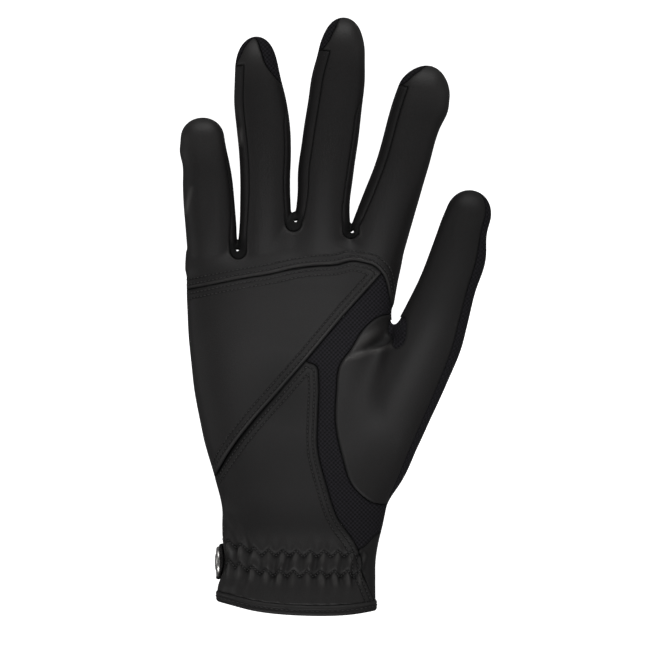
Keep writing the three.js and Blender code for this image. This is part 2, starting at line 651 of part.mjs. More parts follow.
// The closing strap: sewn on behind the wrist, round the little finger's side, with a rounded end.
const snapY = wristLine - snapPlace.along * cuffLength;
const snapZ = snapPlace.height * wristThickness;
const tabEnd = Array.from({ length: 13 }, (_, i) => (Math.PI * i) / 12).map((angle) => (
  new THREE.Vector2((Math.cos(angle) * tabWidth) / 2, snapZ + (Math.sin(angle) * tabWidth) / 2)
));
const tabOutline = [
  new THREE.Vector2(-tabWidth / 2, -beyond), new THREE.Vector2(tabWidth / 2, -beyond), ...tabEnd,
];
const tabShape = prismSideways(tabOutline, -beyond, tabReach, new THREE.Vector2(0, snapY), northward);
const littleSide = solidOf(new THREE.BoxGeometry(beyond, beyond, beyond).translate(-beyond / 2, 0, 0));
const closingTab = palmLoft(seamGap + tabThickness).subtract(palmLoft(seamGap))
  .intersect(tabShape)
  .intersect(littleSide.add(frontEdge));

// The snap's cap, shaped at the back to the strap that it sits on.
const beside = cuffSections.reduce((best, row) => (
  Math.abs(row.along - snapPlace.along) < Math.abs(best.along - snapPlace.along) ? row : best
));
const overTab = 2 * seamGap + tabThickness;
const capOutline = [
  new THREE.Vector2(0, -snapRadius), new THREE.Vector2(snapRadius, -snapRadius),
  ...snapRows.map((row) => new THREE.Vector2(row.radius * snapRadius, row.height * snapHeight)),
];
const cap = new THREE.LatheGeometry(capOutline, 20).rotateZ(Math.PI / 2);
const snapCap = solidOf(cap.translate(beside.left * wristWidth - overTab, snapY, snapZ))
  .subtract(palmLoft(overTab));

const group = new THREE.Group();
group.name = "riding_glove";
const pieces = [
  ["finger_front", fingerFront, leather],
  ["palm_panel", palmPanel, leather],
  ["heel_panel", heelPanel, leather],
  ["palm_mesh_insert", meshInsert, mesh],
  ["thumb_front", thumbFront, leather],
  ["thumb_back", thumbBack, mesh],
  ["thumb_gusset", thumbGusset, mesh],
  ...strips.map((solid, index) => (
    [`strip_${fingers[index].name}_${fingers[index + 1].name}`, solid, leather]
  )),
  ["back_panel", backPanel, mesh],
  ["cuff_back", cuffBack, leather],
  ["hem_binding", hemBinding, leather],
  ["closing_tab", closingTab, leather],
  ["snap_cap", snapCap, steel],
];
pieces.forEach(([name, solid, material]) => {
  const piece = new THREE.Mesh(geometryOf(mainBody(solid)), material);
  piece.name = name;
  group.add(piece);
});

export default group;
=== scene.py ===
import math

import bpy
import numpy as np
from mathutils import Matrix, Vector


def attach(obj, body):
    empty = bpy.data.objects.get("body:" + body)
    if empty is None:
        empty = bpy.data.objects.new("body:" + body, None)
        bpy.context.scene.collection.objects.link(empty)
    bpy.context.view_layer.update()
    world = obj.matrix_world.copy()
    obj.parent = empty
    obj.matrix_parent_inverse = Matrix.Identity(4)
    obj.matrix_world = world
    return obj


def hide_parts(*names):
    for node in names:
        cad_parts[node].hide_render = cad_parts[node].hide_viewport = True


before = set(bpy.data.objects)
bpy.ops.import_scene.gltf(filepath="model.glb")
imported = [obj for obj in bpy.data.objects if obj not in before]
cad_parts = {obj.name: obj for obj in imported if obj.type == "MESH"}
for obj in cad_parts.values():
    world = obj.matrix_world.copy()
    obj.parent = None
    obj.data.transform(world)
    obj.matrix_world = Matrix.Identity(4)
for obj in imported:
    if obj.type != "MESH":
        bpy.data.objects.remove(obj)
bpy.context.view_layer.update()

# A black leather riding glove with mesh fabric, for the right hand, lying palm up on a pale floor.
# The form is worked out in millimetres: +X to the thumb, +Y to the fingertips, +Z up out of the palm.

metre = 1000.0                                   # the form's units in one of Blender's


# Tables and curves

def table(columns, *rows):
    return {name: np.array([row[i] for row in rows], float) for i, name in enumerate(columns.split())}


def smoothCurve(at, values, count=300):          # a smooth line through a few values, as a dense table
    slopes = np.gradient(values, at)
    dense = np.linspace(at[0], at[-1], count)
    i = np.clip(np.searchsorted(at, dense) - 1, 0, len(at) - 2)
    step = at[i + 1] - at[i]
    s = (dense - at[i]) / step
    start = (2 * s**3 - 3 * s**2 + 1) * values[i] + (s**3 - 2 * s**2 + s) * step * slopes[i]
    end = (3 * s**2 - 2 * s**3) * values[i + 1] + (s**3 - s**2) * step * slopes[i + 1]
    return dense, start + end


def smoothPath(points, step=1.5):                # the same for a path of 2-D or 3-D points
    points = np.array(points, float)
    lengths = np.concatenate([[0], np.cumsum(np.linalg.norm(np.diff(points, axis=0), axis=1))])
    count = max(3, int(lengths[-1] / step))
    return np.stack([smoothCurve(lengths, column, count)[1] for column in points.T], 1)


def fade(value, low, high):                      # 0 below low, 1 above high, smooth between
    s = np.clip((value - low) / (high - low), 0, 1)
    return s * s * (3 - 2 * s)


# The hand that the glove is cut for

hand = {
    "palmWidth": 83.0, "palmLength": 108.0, "palmThickness": 30.0, "wristShare": 0.407,
    "wristWidth": 62.0, "wristThickness": 31.0, "cuffLength": 42.4,
    "fingerLength": 89.2, "fingerWidth": 21.6, "fingerDepth": 20.0,
    "thumbLength": 114.7, "thumbWidth": 21.0, "thumbThickness": 17.0, "thumbLean": 20.2, "thumbTip": 9.5,
    "fingerBlend": 0.9, "webBlend": 9.0, "webFade": (-3.0, 6.0), "palmBlend": 4.0, "thumbBlend": 6.5,
    "floorBlend": 1.5,
    "cell": 0.72,                                # size of the faces of the skin
    "box": ((-46, -92, -2.2), (86, 157, 38)),    # room for the whole glove
    "wall": 1.2,
}


def alongPalm(share):
    return (share - hand["wristShare"]) * hand["palmLength"]


def place(across, along):
    return np.array([across * hand["palmWidth"], alongPalm(along)])


wristLine = alongPalm(0)
hemLine = wristLine - hand["cuffLength"]

# Shares of the palm's width and thickness, from the wrist line to the fingers
palmRows = table("along left right top bottom",
    (0.0, -0.323, 0.458, 1.08, 0.05), (0.12, -0.358, 0.49, 1.1, -0.02), (0.27, -0.413, 0.5, 1.07, -0.06),
    (0.43, -0.454, 0.491, 1.01, -0.06), (0.58, -0.478, 0.48, 0.945, -0.06),
    (0.72, -0.491, 0.486, 0.86, -0.05), (0.83, -0.497, 0.502, 0.775, -0.04),
    (0.92, -0.493, 0.515, 0.67, -0.01), (0.985, -0.47, 0.5, 0.48, 0.06))

# Shares of the wrist's width and thickness, from below the hem up to the wrist line
cuffRows = table("along left right top bottom",
    (1.22, -0.47, 0.552, 1.05, 0.085), (0.86, -0.462, 0.55, 1.06, 0.085), (0.7, -0.461, 0.549, 1.06, 0.085),
    (0.6, -0.438, 0.55, 1.04, 0.085), (0.48, -0.42, 0.552, 1.05, 0.085), (0.28, -0.428, 0.57, 1.06, 0.08),
    (0.12, -0.433, 0.596, 1.07, 0.07))

# Shares of the finger's width and depth
fingerRows = table("along width top bottom flare",
    (-0.22, 1.0, 0.98, 0.06, 1.0), (0.0, 1.0, 1.04, 0.02, 1.0), (0.14, 1.0, 1.02, 0.02, 0.35),
    (0.3, 1.0, 0.98, 0.025, 0.0), (0.55, 1.0, 0.93, 0.045, 0.0))
fingerEnd = {"top": 0.84, "bottom": 0.07}

# Trim draws each side of the finger in or out, in millimetres: share of the length, left side, right side
fingers = [
    {"name": "little", "across": -0.381, "along": 1.0, "length": 0.549, "width": 0.889, "depth": 0.9,
     "lean": -3.6, "bow": 0.0, "distal": 0.92, "tip": 0.42, "flareLeft": 0.0, "flareRight": 0.085,
     "trim": ((-0.22, 0, -0.8), (0.0, 0, -0.7), (0.12, -0.3, 0.5), (0.25, -0.6, 1.0), (0.45, -0.6, 1.1),
              (0.62, -0.4, 0.4), (0.73, -1.2, -0.3), (0.84, -0.6, -0.8), (1.0, -0.7, -0.8))},
    {"name": "ring", "across": -0.12, "along": 0.981, "length": 0.935, "width": 0.935, "depth": 0.975,
     "lean": -2.4, "bow": 0.065, "distal": 0.86, "tip": 0.62, "flareLeft": 0.055, "flareRight": 0.06,
     "trim": ((-0.22, 0.5, 0.1), (0.0, 0.5, 0.2), (0.15, 0.1, 0.2), (0.3, -0.3, 0.4), (0.44, -0.8, 1.4),
              (0.55, -1.5, 1.6), (0.7, -2.0, 0.9), (0.8, -1.3, -0.5), (0.87, -0.7, -1.1), (1.0, 0.0, -0.3))},
    {"name": "middle", "across": 0.149, "along": 1.0, "length": 1.0, "width": 1.0, "depth": 1.0,
     "lean": 5.9, "bow": 0.0, "distal": 0.85, "tip": 0.58, "flareLeft": 0.05, "flareRight": 0.05,
     "trim": ((-0.22, 0, 0), (0.0, 0, 0.2), (0.2, -0.6, -0.7), (0.3, -1.7, 0.0), (0.45, -1.6, 0.8),
              (0.62, -1.2, 1.3), (0.73, -0.9, 1.6), (0.83, 0.3, 0.9), (0.93, 1.2, 0.0), (1.0, 0.9, 0.0))},
    {"name": "index", "across": 0.419, "along": 0.95, "length": 0.872, "width": 0.981, "depth": 1.0,
     "lean": 15.3, "bow": 0.042, "distal": 0.94, "tip": 0.5, "flareLeft": 0.075, "flareRight": 0.0,
     "trim": ((-0.22, -0.8, -0.2), (0.0, -1.5, -0.4), (0.15, -2.0, -0.4), (0.3, -1.6, -0.7),
              (0.5, -0.7, -0.4), (0.7, -0.7, 0.3), (0.8, -0.3, 1.9), (0.88, 0.4, 1.3), (1.0, 2.4, 0.2))},
]

# Shares of the thumb's length, width and thickness
thumbRows = table("along side width thickness lift",
    (-0.19, -0.2, 0.7, 0.8, 0.86), (-0.06, -0.03, 1.5, 1.5, 0.82), (0.1, 0.05, 1.52, 1.6, 0.92),
    (0.24, 0.1, 1.46, 1.6, 1.02), (0.36, 0.15, 1.38, 1.52, 1.12), (0.47, 0.19, 1.28, 1.36, 1.2),
    (0.56, 0.2, 1.15, 1.2, 1.25), (0.66, 0.21, 1.06, 1.08, 1.29), (0.76, 0.2, 1.02, 1.02, 1.32),
    (0.86, 0.15, 0.97, 0.96, 1.34), (0.917, 0.13, 0.96, 0.95, 1.34), (1.0, 0.06, 0.96, 0.95, 1.34))
thumbTrim = ((-0.19, 0, -3.0), (-0.04, 0, -2.4), (0.06, 0, -1.7), (0.2, 0, -1.0), (0.35, 0, -0.1),
    (0.56, -0.3, 0.8), (0.68, -0.3, 0.1), (0.8, -0.4, 0.3), (0.89, 0.3, -1.5), (0.93, 0.9, -1.4),
    (1.0, 2.2, -0.2))
thumbRoot = {"across": 0.39, "along": 0.185, "start": -0.13}

# How square the sections of each limb are, and over what length its hidden end is rounded
fingerShape = {"squareness": 2.4, "startLength": 4.0}
thumbShape = {"squareness": 2.2, "startLength": 6.0}
palmShape = {"squareness": 2.6, "startLength": 3.0}
palmEnds = {"end": 3.5, "endLength": 5.0, "start": 1.0}      # how far inside its tables the palm is rounded


# A limb is a sleeve of squared-off sections along a straight axis, with a rounded end

def makeLimb(base, lean, at, sides, **form):
    lean = math.radians(lean)
    limb = {
        **form, "base": base,
        "along": np.array([math.sin(lean), math.cos(lean)]),
        "across": np.array([math.cos(lean), -math.sin(lean)]),
    }
    for name, values in sides.items():
        limb["at"], limb[name] = smoothCurve(np.array(at, float), np.array(values, float))
    return limb


def limbPlace(limb, points):                     # how far along the limb a point is, and how far across
    away = points[:, :2] - limb["base"]
    return away @ limb["along"], away @ limb["across"]


def limbSide(limb, name, t):
    return np.interp(t, limb["at"], limb[name])


def limbSides(limb, t):
    return [limbSide(limb, name, t) for name in ("left", "right", "top", "bottom")]


def limbDistance(limb, points):
    t, a = limbPlace(limb, points)
    left, right, top, bottom = limbSides(limb, t)
    across, up = a - (left + right) / 2, points[:, 2] - (top + bottom) / 2
    u, v = np.abs(across / ((right - left) / 2)), np.abs(up / ((top - bottom) / 2))
    rho = (u**limb["squareness"] + v**limb["squareness"]) ** (1 / limb["squareness"])
    past = np.maximum(t - limb["endStart"], 0)
    before = np.maximum(limb["start"] - t, 0)
    whole = np.sqrt(rho**2 + (past / limb["endLength"]) ** 2 + (before / limb["startLength"]) ** 2)
    reach = np.sqrt(across**2 + up**2 + past**2 + before**2)
    return reach * (1 - 1 / np.maximum(whole, 1e-6))


def trimLimb(limb, length, rows):
    share, left, right = np.array(rows, float).T
    for name, values in (("left", left), ("right", right)):
        limb[name] = limb[name] + np.interp(limb["at"], *smoothCurve(share * length, values))
    return limb


def fingerLimb(finger):
    sizes = ("length", "width", "depth")
    length, width, depth = (finger[size] * hand["finger" + size.capitalize()] for size in sizes)
    endLength = finger["tip"] * width
    endStart = 1 - endLength / length
    share = np.append(fingerRows["along"], [endStart, 1.0])
    narrowing = 1 + (finger["distal"] - 1) * np.clip(share / endStart, 0, 1)
    half = width / 2 * np.append(fingerRows["width"], [1, 1]) * narrowing
    flare = np.append(fingerRows["flare"], [0, 0]) * width
    bend = finger["bow"] * width * np.sin(math.pi * np.maximum(share, 0))
    finger.update(length=length, width=width, depth=depth)
    limb = makeLimb(place(finger["across"], finger["along"]), finger["lean"], share * length, {
        "left": bend - half - flare * finger["flareLeft"],
        "right": bend + half + flare * finger["flareRight"],
        "top": depth * np.append(fingerRows["top"], [fingerEnd["top"]] * 2),
        "bottom": depth * np.append(fingerRows["bottom"], [fingerEnd["bottom"]] * 2),
    }, endStart=endStart * length, endLength=endLength, start=fingerRows["along"][0] * length, **fingerShape)
    return trimLimb(limb, length, finger["trim"])


def thumbLimb():
    length, width, thickness = hand["thumbLength"], hand["thumbWidth"], hand["thumbThickness"]
    side, half = thumbRows["side"] * width, thumbRows["width"] * width / 2
    lift, thick = thumbRows["lift"] * thickness, thumbRows["thickness"] * thickness / 2
    base = place(thumbRoot["across"], thumbRoot["along"])
    limb = makeLimb(base, hand["thumbLean"], thumbRows["along"] * length, {
        "left": side - half, "right": side + half, "top": lift + thick, "bottom": lift - thick,
    }, endStart=length - hand["thumbTip"], endLength=hand["thumbTip"], start=thumbRoot["start"] * length,
        **thumbShape)
    return trimLimb(limb, length, thumbTrim)


def palmLimb():
    at = np.append(wristLine - cuffRows["along"] * hand["cuffLength"], alongPalm(palmRows["along"]))

    def joined(name, cuffSize, palmSize):
        return np.append(cuffRows[name] * hand[cuffSize], palmRows[name] * hand[palmSize])

    return makeLimb(np.zeros(2), 0, at, {
        "left": joined("left", "wristWidth", "palmWidth"),
        "right": joined("right", "wristWidth", "palmWidth"),
        "top": joined("top", "wristThickness", "palmThickness"),
        "bottom": joined("bottom", "wristThickness", "palmThickness"),
    }, endStart=at[-1] - palmEnds["end"], endLength=palmEnds["endLength"], start=at[0] + palmEnds["start"],
        **palmShape)


palm, thumb = palmLimb(), thumbLimb()
limbs = [fingerLimb(finger) for finger in fingers]


def smoothMin(a, b, reach):
    share = np.clip(0.5 + 0.5 * (b - a) / reach, 0, 1)
    return b + (a - b) * share - reach * share * (1 - share)


# The bottoms of the webs between the fingers, and where the gaps above them begin to fill
crotches = ((-60.0, 56.0), (-20.4, 56.2), (1.5, 67.2), (24.2, 64.4), (60.0, 60.0))
webRises = ((-60.0, 50.0), (-20.4, 52.6), (1.5, 75.4), (24.2, 64.2), (60.0, 60.0))


def formDistance(points):
    webs = np.interp(points[:, 0], *np.array(webRises).T)
    reach = hand["fingerBlend"] + hand["webBlend"] * fade(webs - points[:, 1], *hand["webFade"])
    nearest = limbDistance(limbs[0], points)
    for limb in limbs[1:]:
        nearest = smoothMin(nearest, limbDistance(limb, points), reach)
    nearest = smoothMin(nearest, limbDistance(palm, points), hand["palmBlend"])
    nearest = smoothMin(nearest, limbDistance(thumb, points), hand["thumbBlend"])
    return -smoothMin(-nearest, points[:, 2], hand["floorBlend"])


def formNormals(points, step=0.15):
    slope = np.stack([
        formDistance(points + step * axis) - formDistance(points - step * axis) for axis in np.eye(3)
    ], 1) / (2 * step)
    return slope / np.linalg.norm(slope, axis=1)[:, None], np.linalg.norm(slope, axis=1)


# The skin is meshed once, as quads between the cells that the form's surface passes through

def meshForm(cell, low, high):
    axes = [np.arange(a, b, cell) for a, b in zip(low, high)]
    counts = [len(axis) for axis in axes]
    grid = np.empty(counts)
    for i, x in enumerate(axes[0]):
        y, z = (side.ravel() for side in np.meshgrid(axes[1], axes[2], indexing="ij"))
        grid[i] = formDistance(np.stack([np.full(len(y), x), y, z], 1)).reshape(counts[1:])
    inside = grid < 0
    cells = [count - 1 for count in counts]
    sums, hits = np.zeros((*cells, 3)), np.zeros(cells)
    edges = []
    for axis in range(3):
        lower = [slice(None)] * 3
        upper = [slice(None)] * 3
        lower[axis], upper[axis] = slice(0, -1), slice(1, None)
        a, b = grid[tuple(lower)], grid[tuple(upper)]
        crossed = np.argwhere(inside[tuple(lower)] != inside[tuple(upper)])
        va, vb = (side[tuple(crossed.T)] for side in (a, b))
        spots = crossed.astype(float)
        spots[:, axis] += va / (va - vb)
        others = [other for other in range(3) if other != axis]
        corners = []
        for shift in ((0, 0), (1, 0), (1, 1), (0, 1)):
            cellOf = crossed.copy()
            cellOf[:, others[0]] -= shift[0]
            cellOf[:, others[1]] -= shift[1]
            corners.append(cellOf)
            np.add.at(sums, tuple(cellOf.T), spots)
            np.add.at(hits, tuple(cellOf.T), 1)
        edges.append((corners, va < 0, axis))
    used = hits > 0
    index = np.full(cells, -1)
    index[used] = np.arange(used.sum())
    points = sums[used] / hits[used][:, None] * cell + np.array([axis[0] for axis in axes])
    triangles = []
    for corners, outward, axis in edges:
        quad = np.stack([index[tuple(corner.T)] for corner in corners], 1)
        flip = outward if axis == 1 else ~outward
        quad[flip] = quad[flip][:, ::-1]
        triangles += [quad[:, [0, 1, 2]], quad[:, [0, 2, 3]]]
    return points, np.concatenate(triangles)


def edgesOf(triangles):
    return np.concatenate([triangles[:, [0, 1]], triangles[:, [1, 2]], triangles[:, [2, 0]]])


def settle(points, triangles, rounds=3):         # evens the faces out and draws them onto the form
    pairs = edgesOf(triangles)
    for _ in range(rounds):
        sums, counts = np.zeros_like(points), np.zeros(len(points))
        for a, b in (pairs.T, pairs.T[::-1]):
            np.add.at(sums, a, points[b])
            np.add.at(counts, a, 1)
        points = 0.5 * points + 0.5 * sums / counts[:, None]
        for _ in range(2):
            normals, slope = formNormals(points)
            points = points - normals * (formDistance(points) / np.maximum(slope, 0.3))[:, None]
    return points, formNormals(points)[0]


basePoints, baseTriangles = meshForm(hand["cell"], *hand["box"])
basePoints, baseNormals = settle(basePoints, baseTriangles)
print("Skin of", len(baseTriangles), "triangles")


# Fields over the skin: each is the distance past a border, measured along the surface, and below 0 inside it

def alongSurface(value, direction, normals):
    along = direction - (direction * normals).sum(1)[:, None] * normals
    return value / np.maximum(np.linalg.norm(along, axis=1), 0.35)


def outlineField(outline, points=basePoints, normals=baseNormals):
    xy = points[:, :2]
    nearest, away, inside = np.full(len(xy), 1e12), np.zeros_like(xy), np.zeros(len(xy), bool)
    for a, b in zip(outline, np.roll(outline, -1, axis=0)):
        side = b - a
        share = np.clip((xy - a) @ side / max(side @ side, 1e-9), 0, 1)
        gap = xy - a - share[:, None] * side
        square = (gap**2).sum(1)
        closer = square < nearest
        nearest[closer], away[closer] = square[closer], gap[closer]
        if a[1] != b[1]:
            between = (a[1] > xy[:, 1]) != (b[1] > xy[:, 1])
            inside ^= between & (xy[:, 0] < (b[0] - a[0]) * (xy[:, 1] - a[1]) / (b[1] - a[1]) + a[0])
    distance = np.sqrt(nearest)
    direction = np.zeros((len(xy), 3))
    direction[:, :2] = away / np.maximum(distance, 1e-6)[:, None]
    return alongSurface(np.where(inside, -distance, distance), direction, normals)


far = 400.0


def region(seam, *corners):                      # a seam, closed far outside the glove
    return outlineField(np.concatenate([seam, np.array(corners, float) * far]))


def seamPath(*rows):
    return smoothPath([place(*row) for row in rows])


# The seams, as shares of the palm
seams = {
    "finger": seamPath((-0.6, 0.8), (-0.5, 0.815), (-0.371, 0.834), (-0.239, 0.854), (-0.083, 0.874),
        (0.023, 0.893), (0.129, 0.903), (0.222, 0.907), (0.3, 0.921), (0.347, 0.915), (0.4, 0.903),
        (0.446, 0.87), (0.478, 0.8), (0.501, 0.7), (0.51, 0.66)),
    "diagonal": seamPath((-0.42, 0.02), (-0.353, 0.14), (-0.258, 0.255), (-0.175, 0.335), (-0.067, 0.429),
        (0.077, 0.555), (0.267, 0.726), (0.413, 0.85), (0.49, 0.915)),
    "heel": seamPath((0.05, 0.61), (0.077, 0.555), (0.128, 0.537), (0.139, 0.481), (0.136, 0.37),
        (0.134, 0.237), (0.178, 0.096), (0.23, -0.02), (0.304, -0.102), (0.342, -0.165), (0.345, -0.21),
        (0.37, -0.26), (0.43, -0.38)),
    "thumb": seamPath((0.52, 0.73), (0.42, 0.712), (0.343, 0.66), (0.293, 0.597), (0.244, 0.546),
        (0.223, 0.433), (0.219, 0.33), (0.25, 0.209), (0.303, 0.096), (0.376, 0.044), (0.62, 0.03)),
    "thumbBack": seamPath((0.52, 0.73), (0.44, 0.5), (0.41, 0.26), (0.43, 0.08), (0.62, 0.03)),
    "cuffSide": seamPath((0.66, -0.055), (0.43, -0.075), (0.347, -0.13), (0.27, -0.15)),
}
hemRows = table("across rise",
    (-0.75, 0.19), (-0.46, 0.16), (-0.2, 0.08), (0.11, 0.043), (0.38, 0.048), (0.55, 0.075), (0.8, 0.09))
hemPath = smoothPath(np.stack([
    hemRows["across"] * hand["wristWidth"], hemLine + hemRows["rise"] * hand["cuffLength"]
], 1))

# The seam round the edge of the hand: place along the palm and height
edgeRows = table("along height",
    (-2.0, 0.43), (0.0, 0.42), (0.55, 0.37), (1.0, 0.28), (1.45, 0.25), (2.6, 0.22))

# The strips between the fingers. Inset is what of the strip shows beside the leather, seen from the front.
strips = {
    "bottom": 0.24,                              # share of the finger's depth
    "ends": {("little", 1): 0.72, ("ring", -1): 0.86, ("ring", 1): 0.68, ("middle", -1): 0.84,
             ("middle", 1): 0.68, ("index", -1): 0.86},
    "insetShares": (-0.1, 0.25, 1.0),
    "insets": {("little", 1): (0.7, 1.1, 0.9), ("ring", -1): (2.2, 3.4, 3.5), ("ring", 1): (1.4, 2.2, 2.0),
               ("middle", -1): (2.6, 4.2, 4.6), ("middle", 1): (1.6, 2.2, 1.8),
               ("index", -1): (2.2, 3.6, 3.8)},
    "taper": 0.16, "taperPast": 0.02, "noTaper": 2.0,        # how the right-hand ones run out, as shares
    "slots": crotches[1:4],                      # the bottom of the U in each crotch
    "slotWidth": 6.2, "slotTop": 0.9, "slotLength": 14.0, "slotPoints": 13, "clear": 3.0,
    "holes": [(-21.0, 60.2), (2.3, 71.8), (24.6, 67.4)],
    "holeRadius": 0.62,
    "reach": 3.0,
}

# Where the mesh fabric of the back comes round to the front beside a fingertip: from, to and how far
fabricPatches = [
    {"finger": "ring", "side": 1, "from": 0.77, "to": 1.04, "inset": 5.2},
    {"finger": "middle", "side": -1, "from": 0.845, "to": 0.99, "inset": 3.2},
    {"finger": "index", "side": -1, "from": 0.865, "to": 0.99, "inset": 2.6},
    {"finger": "ring", "side": -1, "from": 0.87, "to": 1.03, "inset": 1.7},
]
fabricEnds = (0.02, 0.04)                        # shares over which they narrow to nothing


def sideBand(finger, limb, side, inset, start, end, reach):      # the band of skin beside a finger's front
    t, a = limbPlace(limb, basePoints)
    left, right = limbSide(limb, "left", t), limbSide(limb, "right", t)
    past = np.clip((t - limb["endStart"]) / limb["endLength"], 0, 0.999)
    half = (right - left) / 2 * np.sqrt(1 - past**2)
    out = side * (a - (left + right) / 2)
    across = np.zeros((len(t), 3))
    across[:, :2] = side * limb["across"]
    along = np.zeros((len(t), 3))
    along[:, :2] = limb["along"]
    width = inset(t / finger["length"])
    return np.max([
        alongSurface(half - width - out, across, baseNormals),
        alongSurface(start - t, along, baseNormals),
        alongSurface(t - end, along, baseNormals),
        out - half - reach,
    ], axis=0)


def stripField(index):
    parts = []
    for i, side in ((index, 1), (index + 1, -1)):
        finger, limb = fingers[i], limbs[i]
        widths = strips["insets"][finger["name"], side]
        end = strips["ends"][finger["name"], side] * finger["length"]
        start = (strips["slots"][index][1] + strips["clear"] - limb["base"][1]) / limb["along"][1]
        taper = end / finger["length"] + strips["taperPast"] if side > 0 else strips["noTaper"]

        def inset(share):
            return np.interp(share, strips["insetShares"], widths) * fade(taper - share, 0, strips["taper"])

        band = sideBand(finger, limb, side, inset, start, end, strips["reach"])
        parts.append(np.maximum(band, strips["bottom"] * finger["depth"] - basePoints[:, 2]))
    x, y = strips["slots"][index]
    half = strips["slotWidth"] / 2
    bend = np.linspace(math.pi, 2 * math.pi, strips["slotPoints"])
    slot = np.stack([x + half * np.cos(bend), y + half * (1 + np.sin(bend))], 1)
    above, inner = y + strips["slotLength"], half * strips["slotTop"]
    slot = np.concatenate([slot, [[x + inner, above], [x - inner, above]]])
    parts.append(np.maximum(outlineField(slot), strips["bottom"] * hand["fingerDepth"] - basePoints[:, 2]))
    return np.min(parts, axis=0)


def fabricField():
    parts = []
    for patch in fabricPatches:
        i = [finger["name"] for finger in fingers].index(patch["finger"])
        finger = fingers[i]
        middle = (patch["from"] + patch["to"]) / 2
        last = patch["to"] - middle + fabricEnds[1]

        def inset(share):
            return patch["inset"] * (1 - fade(np.abs(share - middle), fabricEnds[0], last))

        parts.append(sideBand(finger, limbs[i], patch["side"], inset, patch["from"] * finger["length"],
            patch["to"] * finger["length"], strips["reach"]))
    return np.min(parts, axis=0)


def edgeField():                                 # below 0 on the back of the hand
    at, height = alongPalm(edgeRows["along"]), edgeRows["height"] * hand["palmThickness"]
    dense, level = smoothCurve(at, height)
    value = basePoints[:, 2] - np.interp(basePoints[:, 1], dense, level)
    return alongSurface(value, np.array([[0, 0, 1.0]]), baseNormals)


thumbSeam = {"tilt": 38.0, "from": 2}            # degrees round the thumb, and the row that it starts at


def thumbPlane():                                # below 0 on the mesh side of the thumb
    first, last = thumbSeam["from"], len(thumbRows["along"]) - 3
    lift = (thumbRows["lift"][last] - thumbRows["lift"][first]) * hand["thumbThickness"]
    rise = math.atan(lift / ((thumbRows["along"][last] - thumbRows["along"][first]) * hand["thumbLength"]))
    tilt, lean = math.radians(thumbSeam["tilt"]), math.radians(hand["thumbLean"])
    normal = np.array([-math.sin(tilt), 0, math.cos(tilt)])
    normal = np.array([normal[0], -math.sin(rise) * normal[2], math.cos(rise) * normal[2]])
    turned = np.array([
        normal[0] * math.cos(lean) + normal[1] * math.sin(lean),
        -normal[0] * math.sin(lean) + normal[1] * math.cos(lean), normal[2],
    ])
    side = (thumbRows["side"][first] + thumbRows["side"][last]) / 2 * hand["thumbWidth"]
    along = thumbRows["along"][first] * hand["thumbLength"]
    middle = thumb["base"] + thumb["along"] * along + thumb["across"] * side
    origin = np.array([*middle, thumbRows["lift"][first] * hand["thumbThickness"]])
    return alongSurface((basePoints - origin) @ turned, turned[None], baseNormals)


def holesField():
    away = [np.hypot(basePoints[:, 0] - x, basePoints[:, 1] - y) for x, y in strips["holes"]]
    return np.min(away, axis=0) - strips["holeRadius"]


cuff = {
    "bindingHeight": 4.4, "bindingProud": 0.6, "backSeam": -0.055,
    "slitWidth": 3.6, "slitTop": 1.44, "slitLength": 34.0, "slitBelow": 40.0,
    "tabWidth": 14.6, "tabThickness": 1.6, "tabReach": 18.0, "tabGap": 0.3, "tabRise": 0.62, "tabUnder": 0.3,
    "snapAlong": 0.477, "snapHeight": 0.53,
}
snapY = wristLine - cuff["snapAlong"] * hand["cuffLength"]
snapZ = cuff["snapHeight"] * hand["wristThickness"]


def tabField():
    y, z = basePoints[:, 1] - snapY, basePoints[:, 2] - snapZ
    half = cuff["tabWidth"] / 2
    across = np.abs(y) - half
    rounded = np.hypot(y, z / cuff["tabRise"]) - half
    up = np.zeros((len(y), 3))
    up[:, 1:] = np.stack([y, z], 1) / np.maximum(np.hypot(y, z), 1e-6)[:, None]
    end = np.where(z > 0, alongSurface(rounded, up, baseNormals), across)
    x = basePoints[:, 0]
    left = np.maximum(x, edgeField() + cuff["tabUnder"])
    return np.max([end, x - cuff["tabReach"], np.minimum(x, left)], axis=0)


gussetOutline = seamPath((0.478, 0.7), (0.545, 0.715), (0.552, 0.67), (0.528, 0.61), (0.5, 0.6),
    (0.474, 0.64), (0.478, 0.7))
gussetUnder = 0.9                                # how far it runs under the leather round it
gussetBack = 1.0                                 # and how far past the edge of the hand
thumbRim = np.array([
    (far, alongPalm(0.03)), (far, alongPalm(1.4)), (0.8 * hand["palmWidth"], alongPalm(1.33)),
    (0.62 * hand["palmWidth"], alongPalm(0.98)),
])
slitEnds = (hemLine - cuff["slitBelow"], hemLine + cuff["slitLength"])
slitOutline = np.array([
    (-cuff["slitWidth"] / 2, slitEnds[0]), (cuff["slitWidth"] / 2, slitEnds[0]),
    (cuff["slitTop"] / 2, slitEnds[1]), (-cuff["slitTop"] / 2, slitEnds[1]),
])

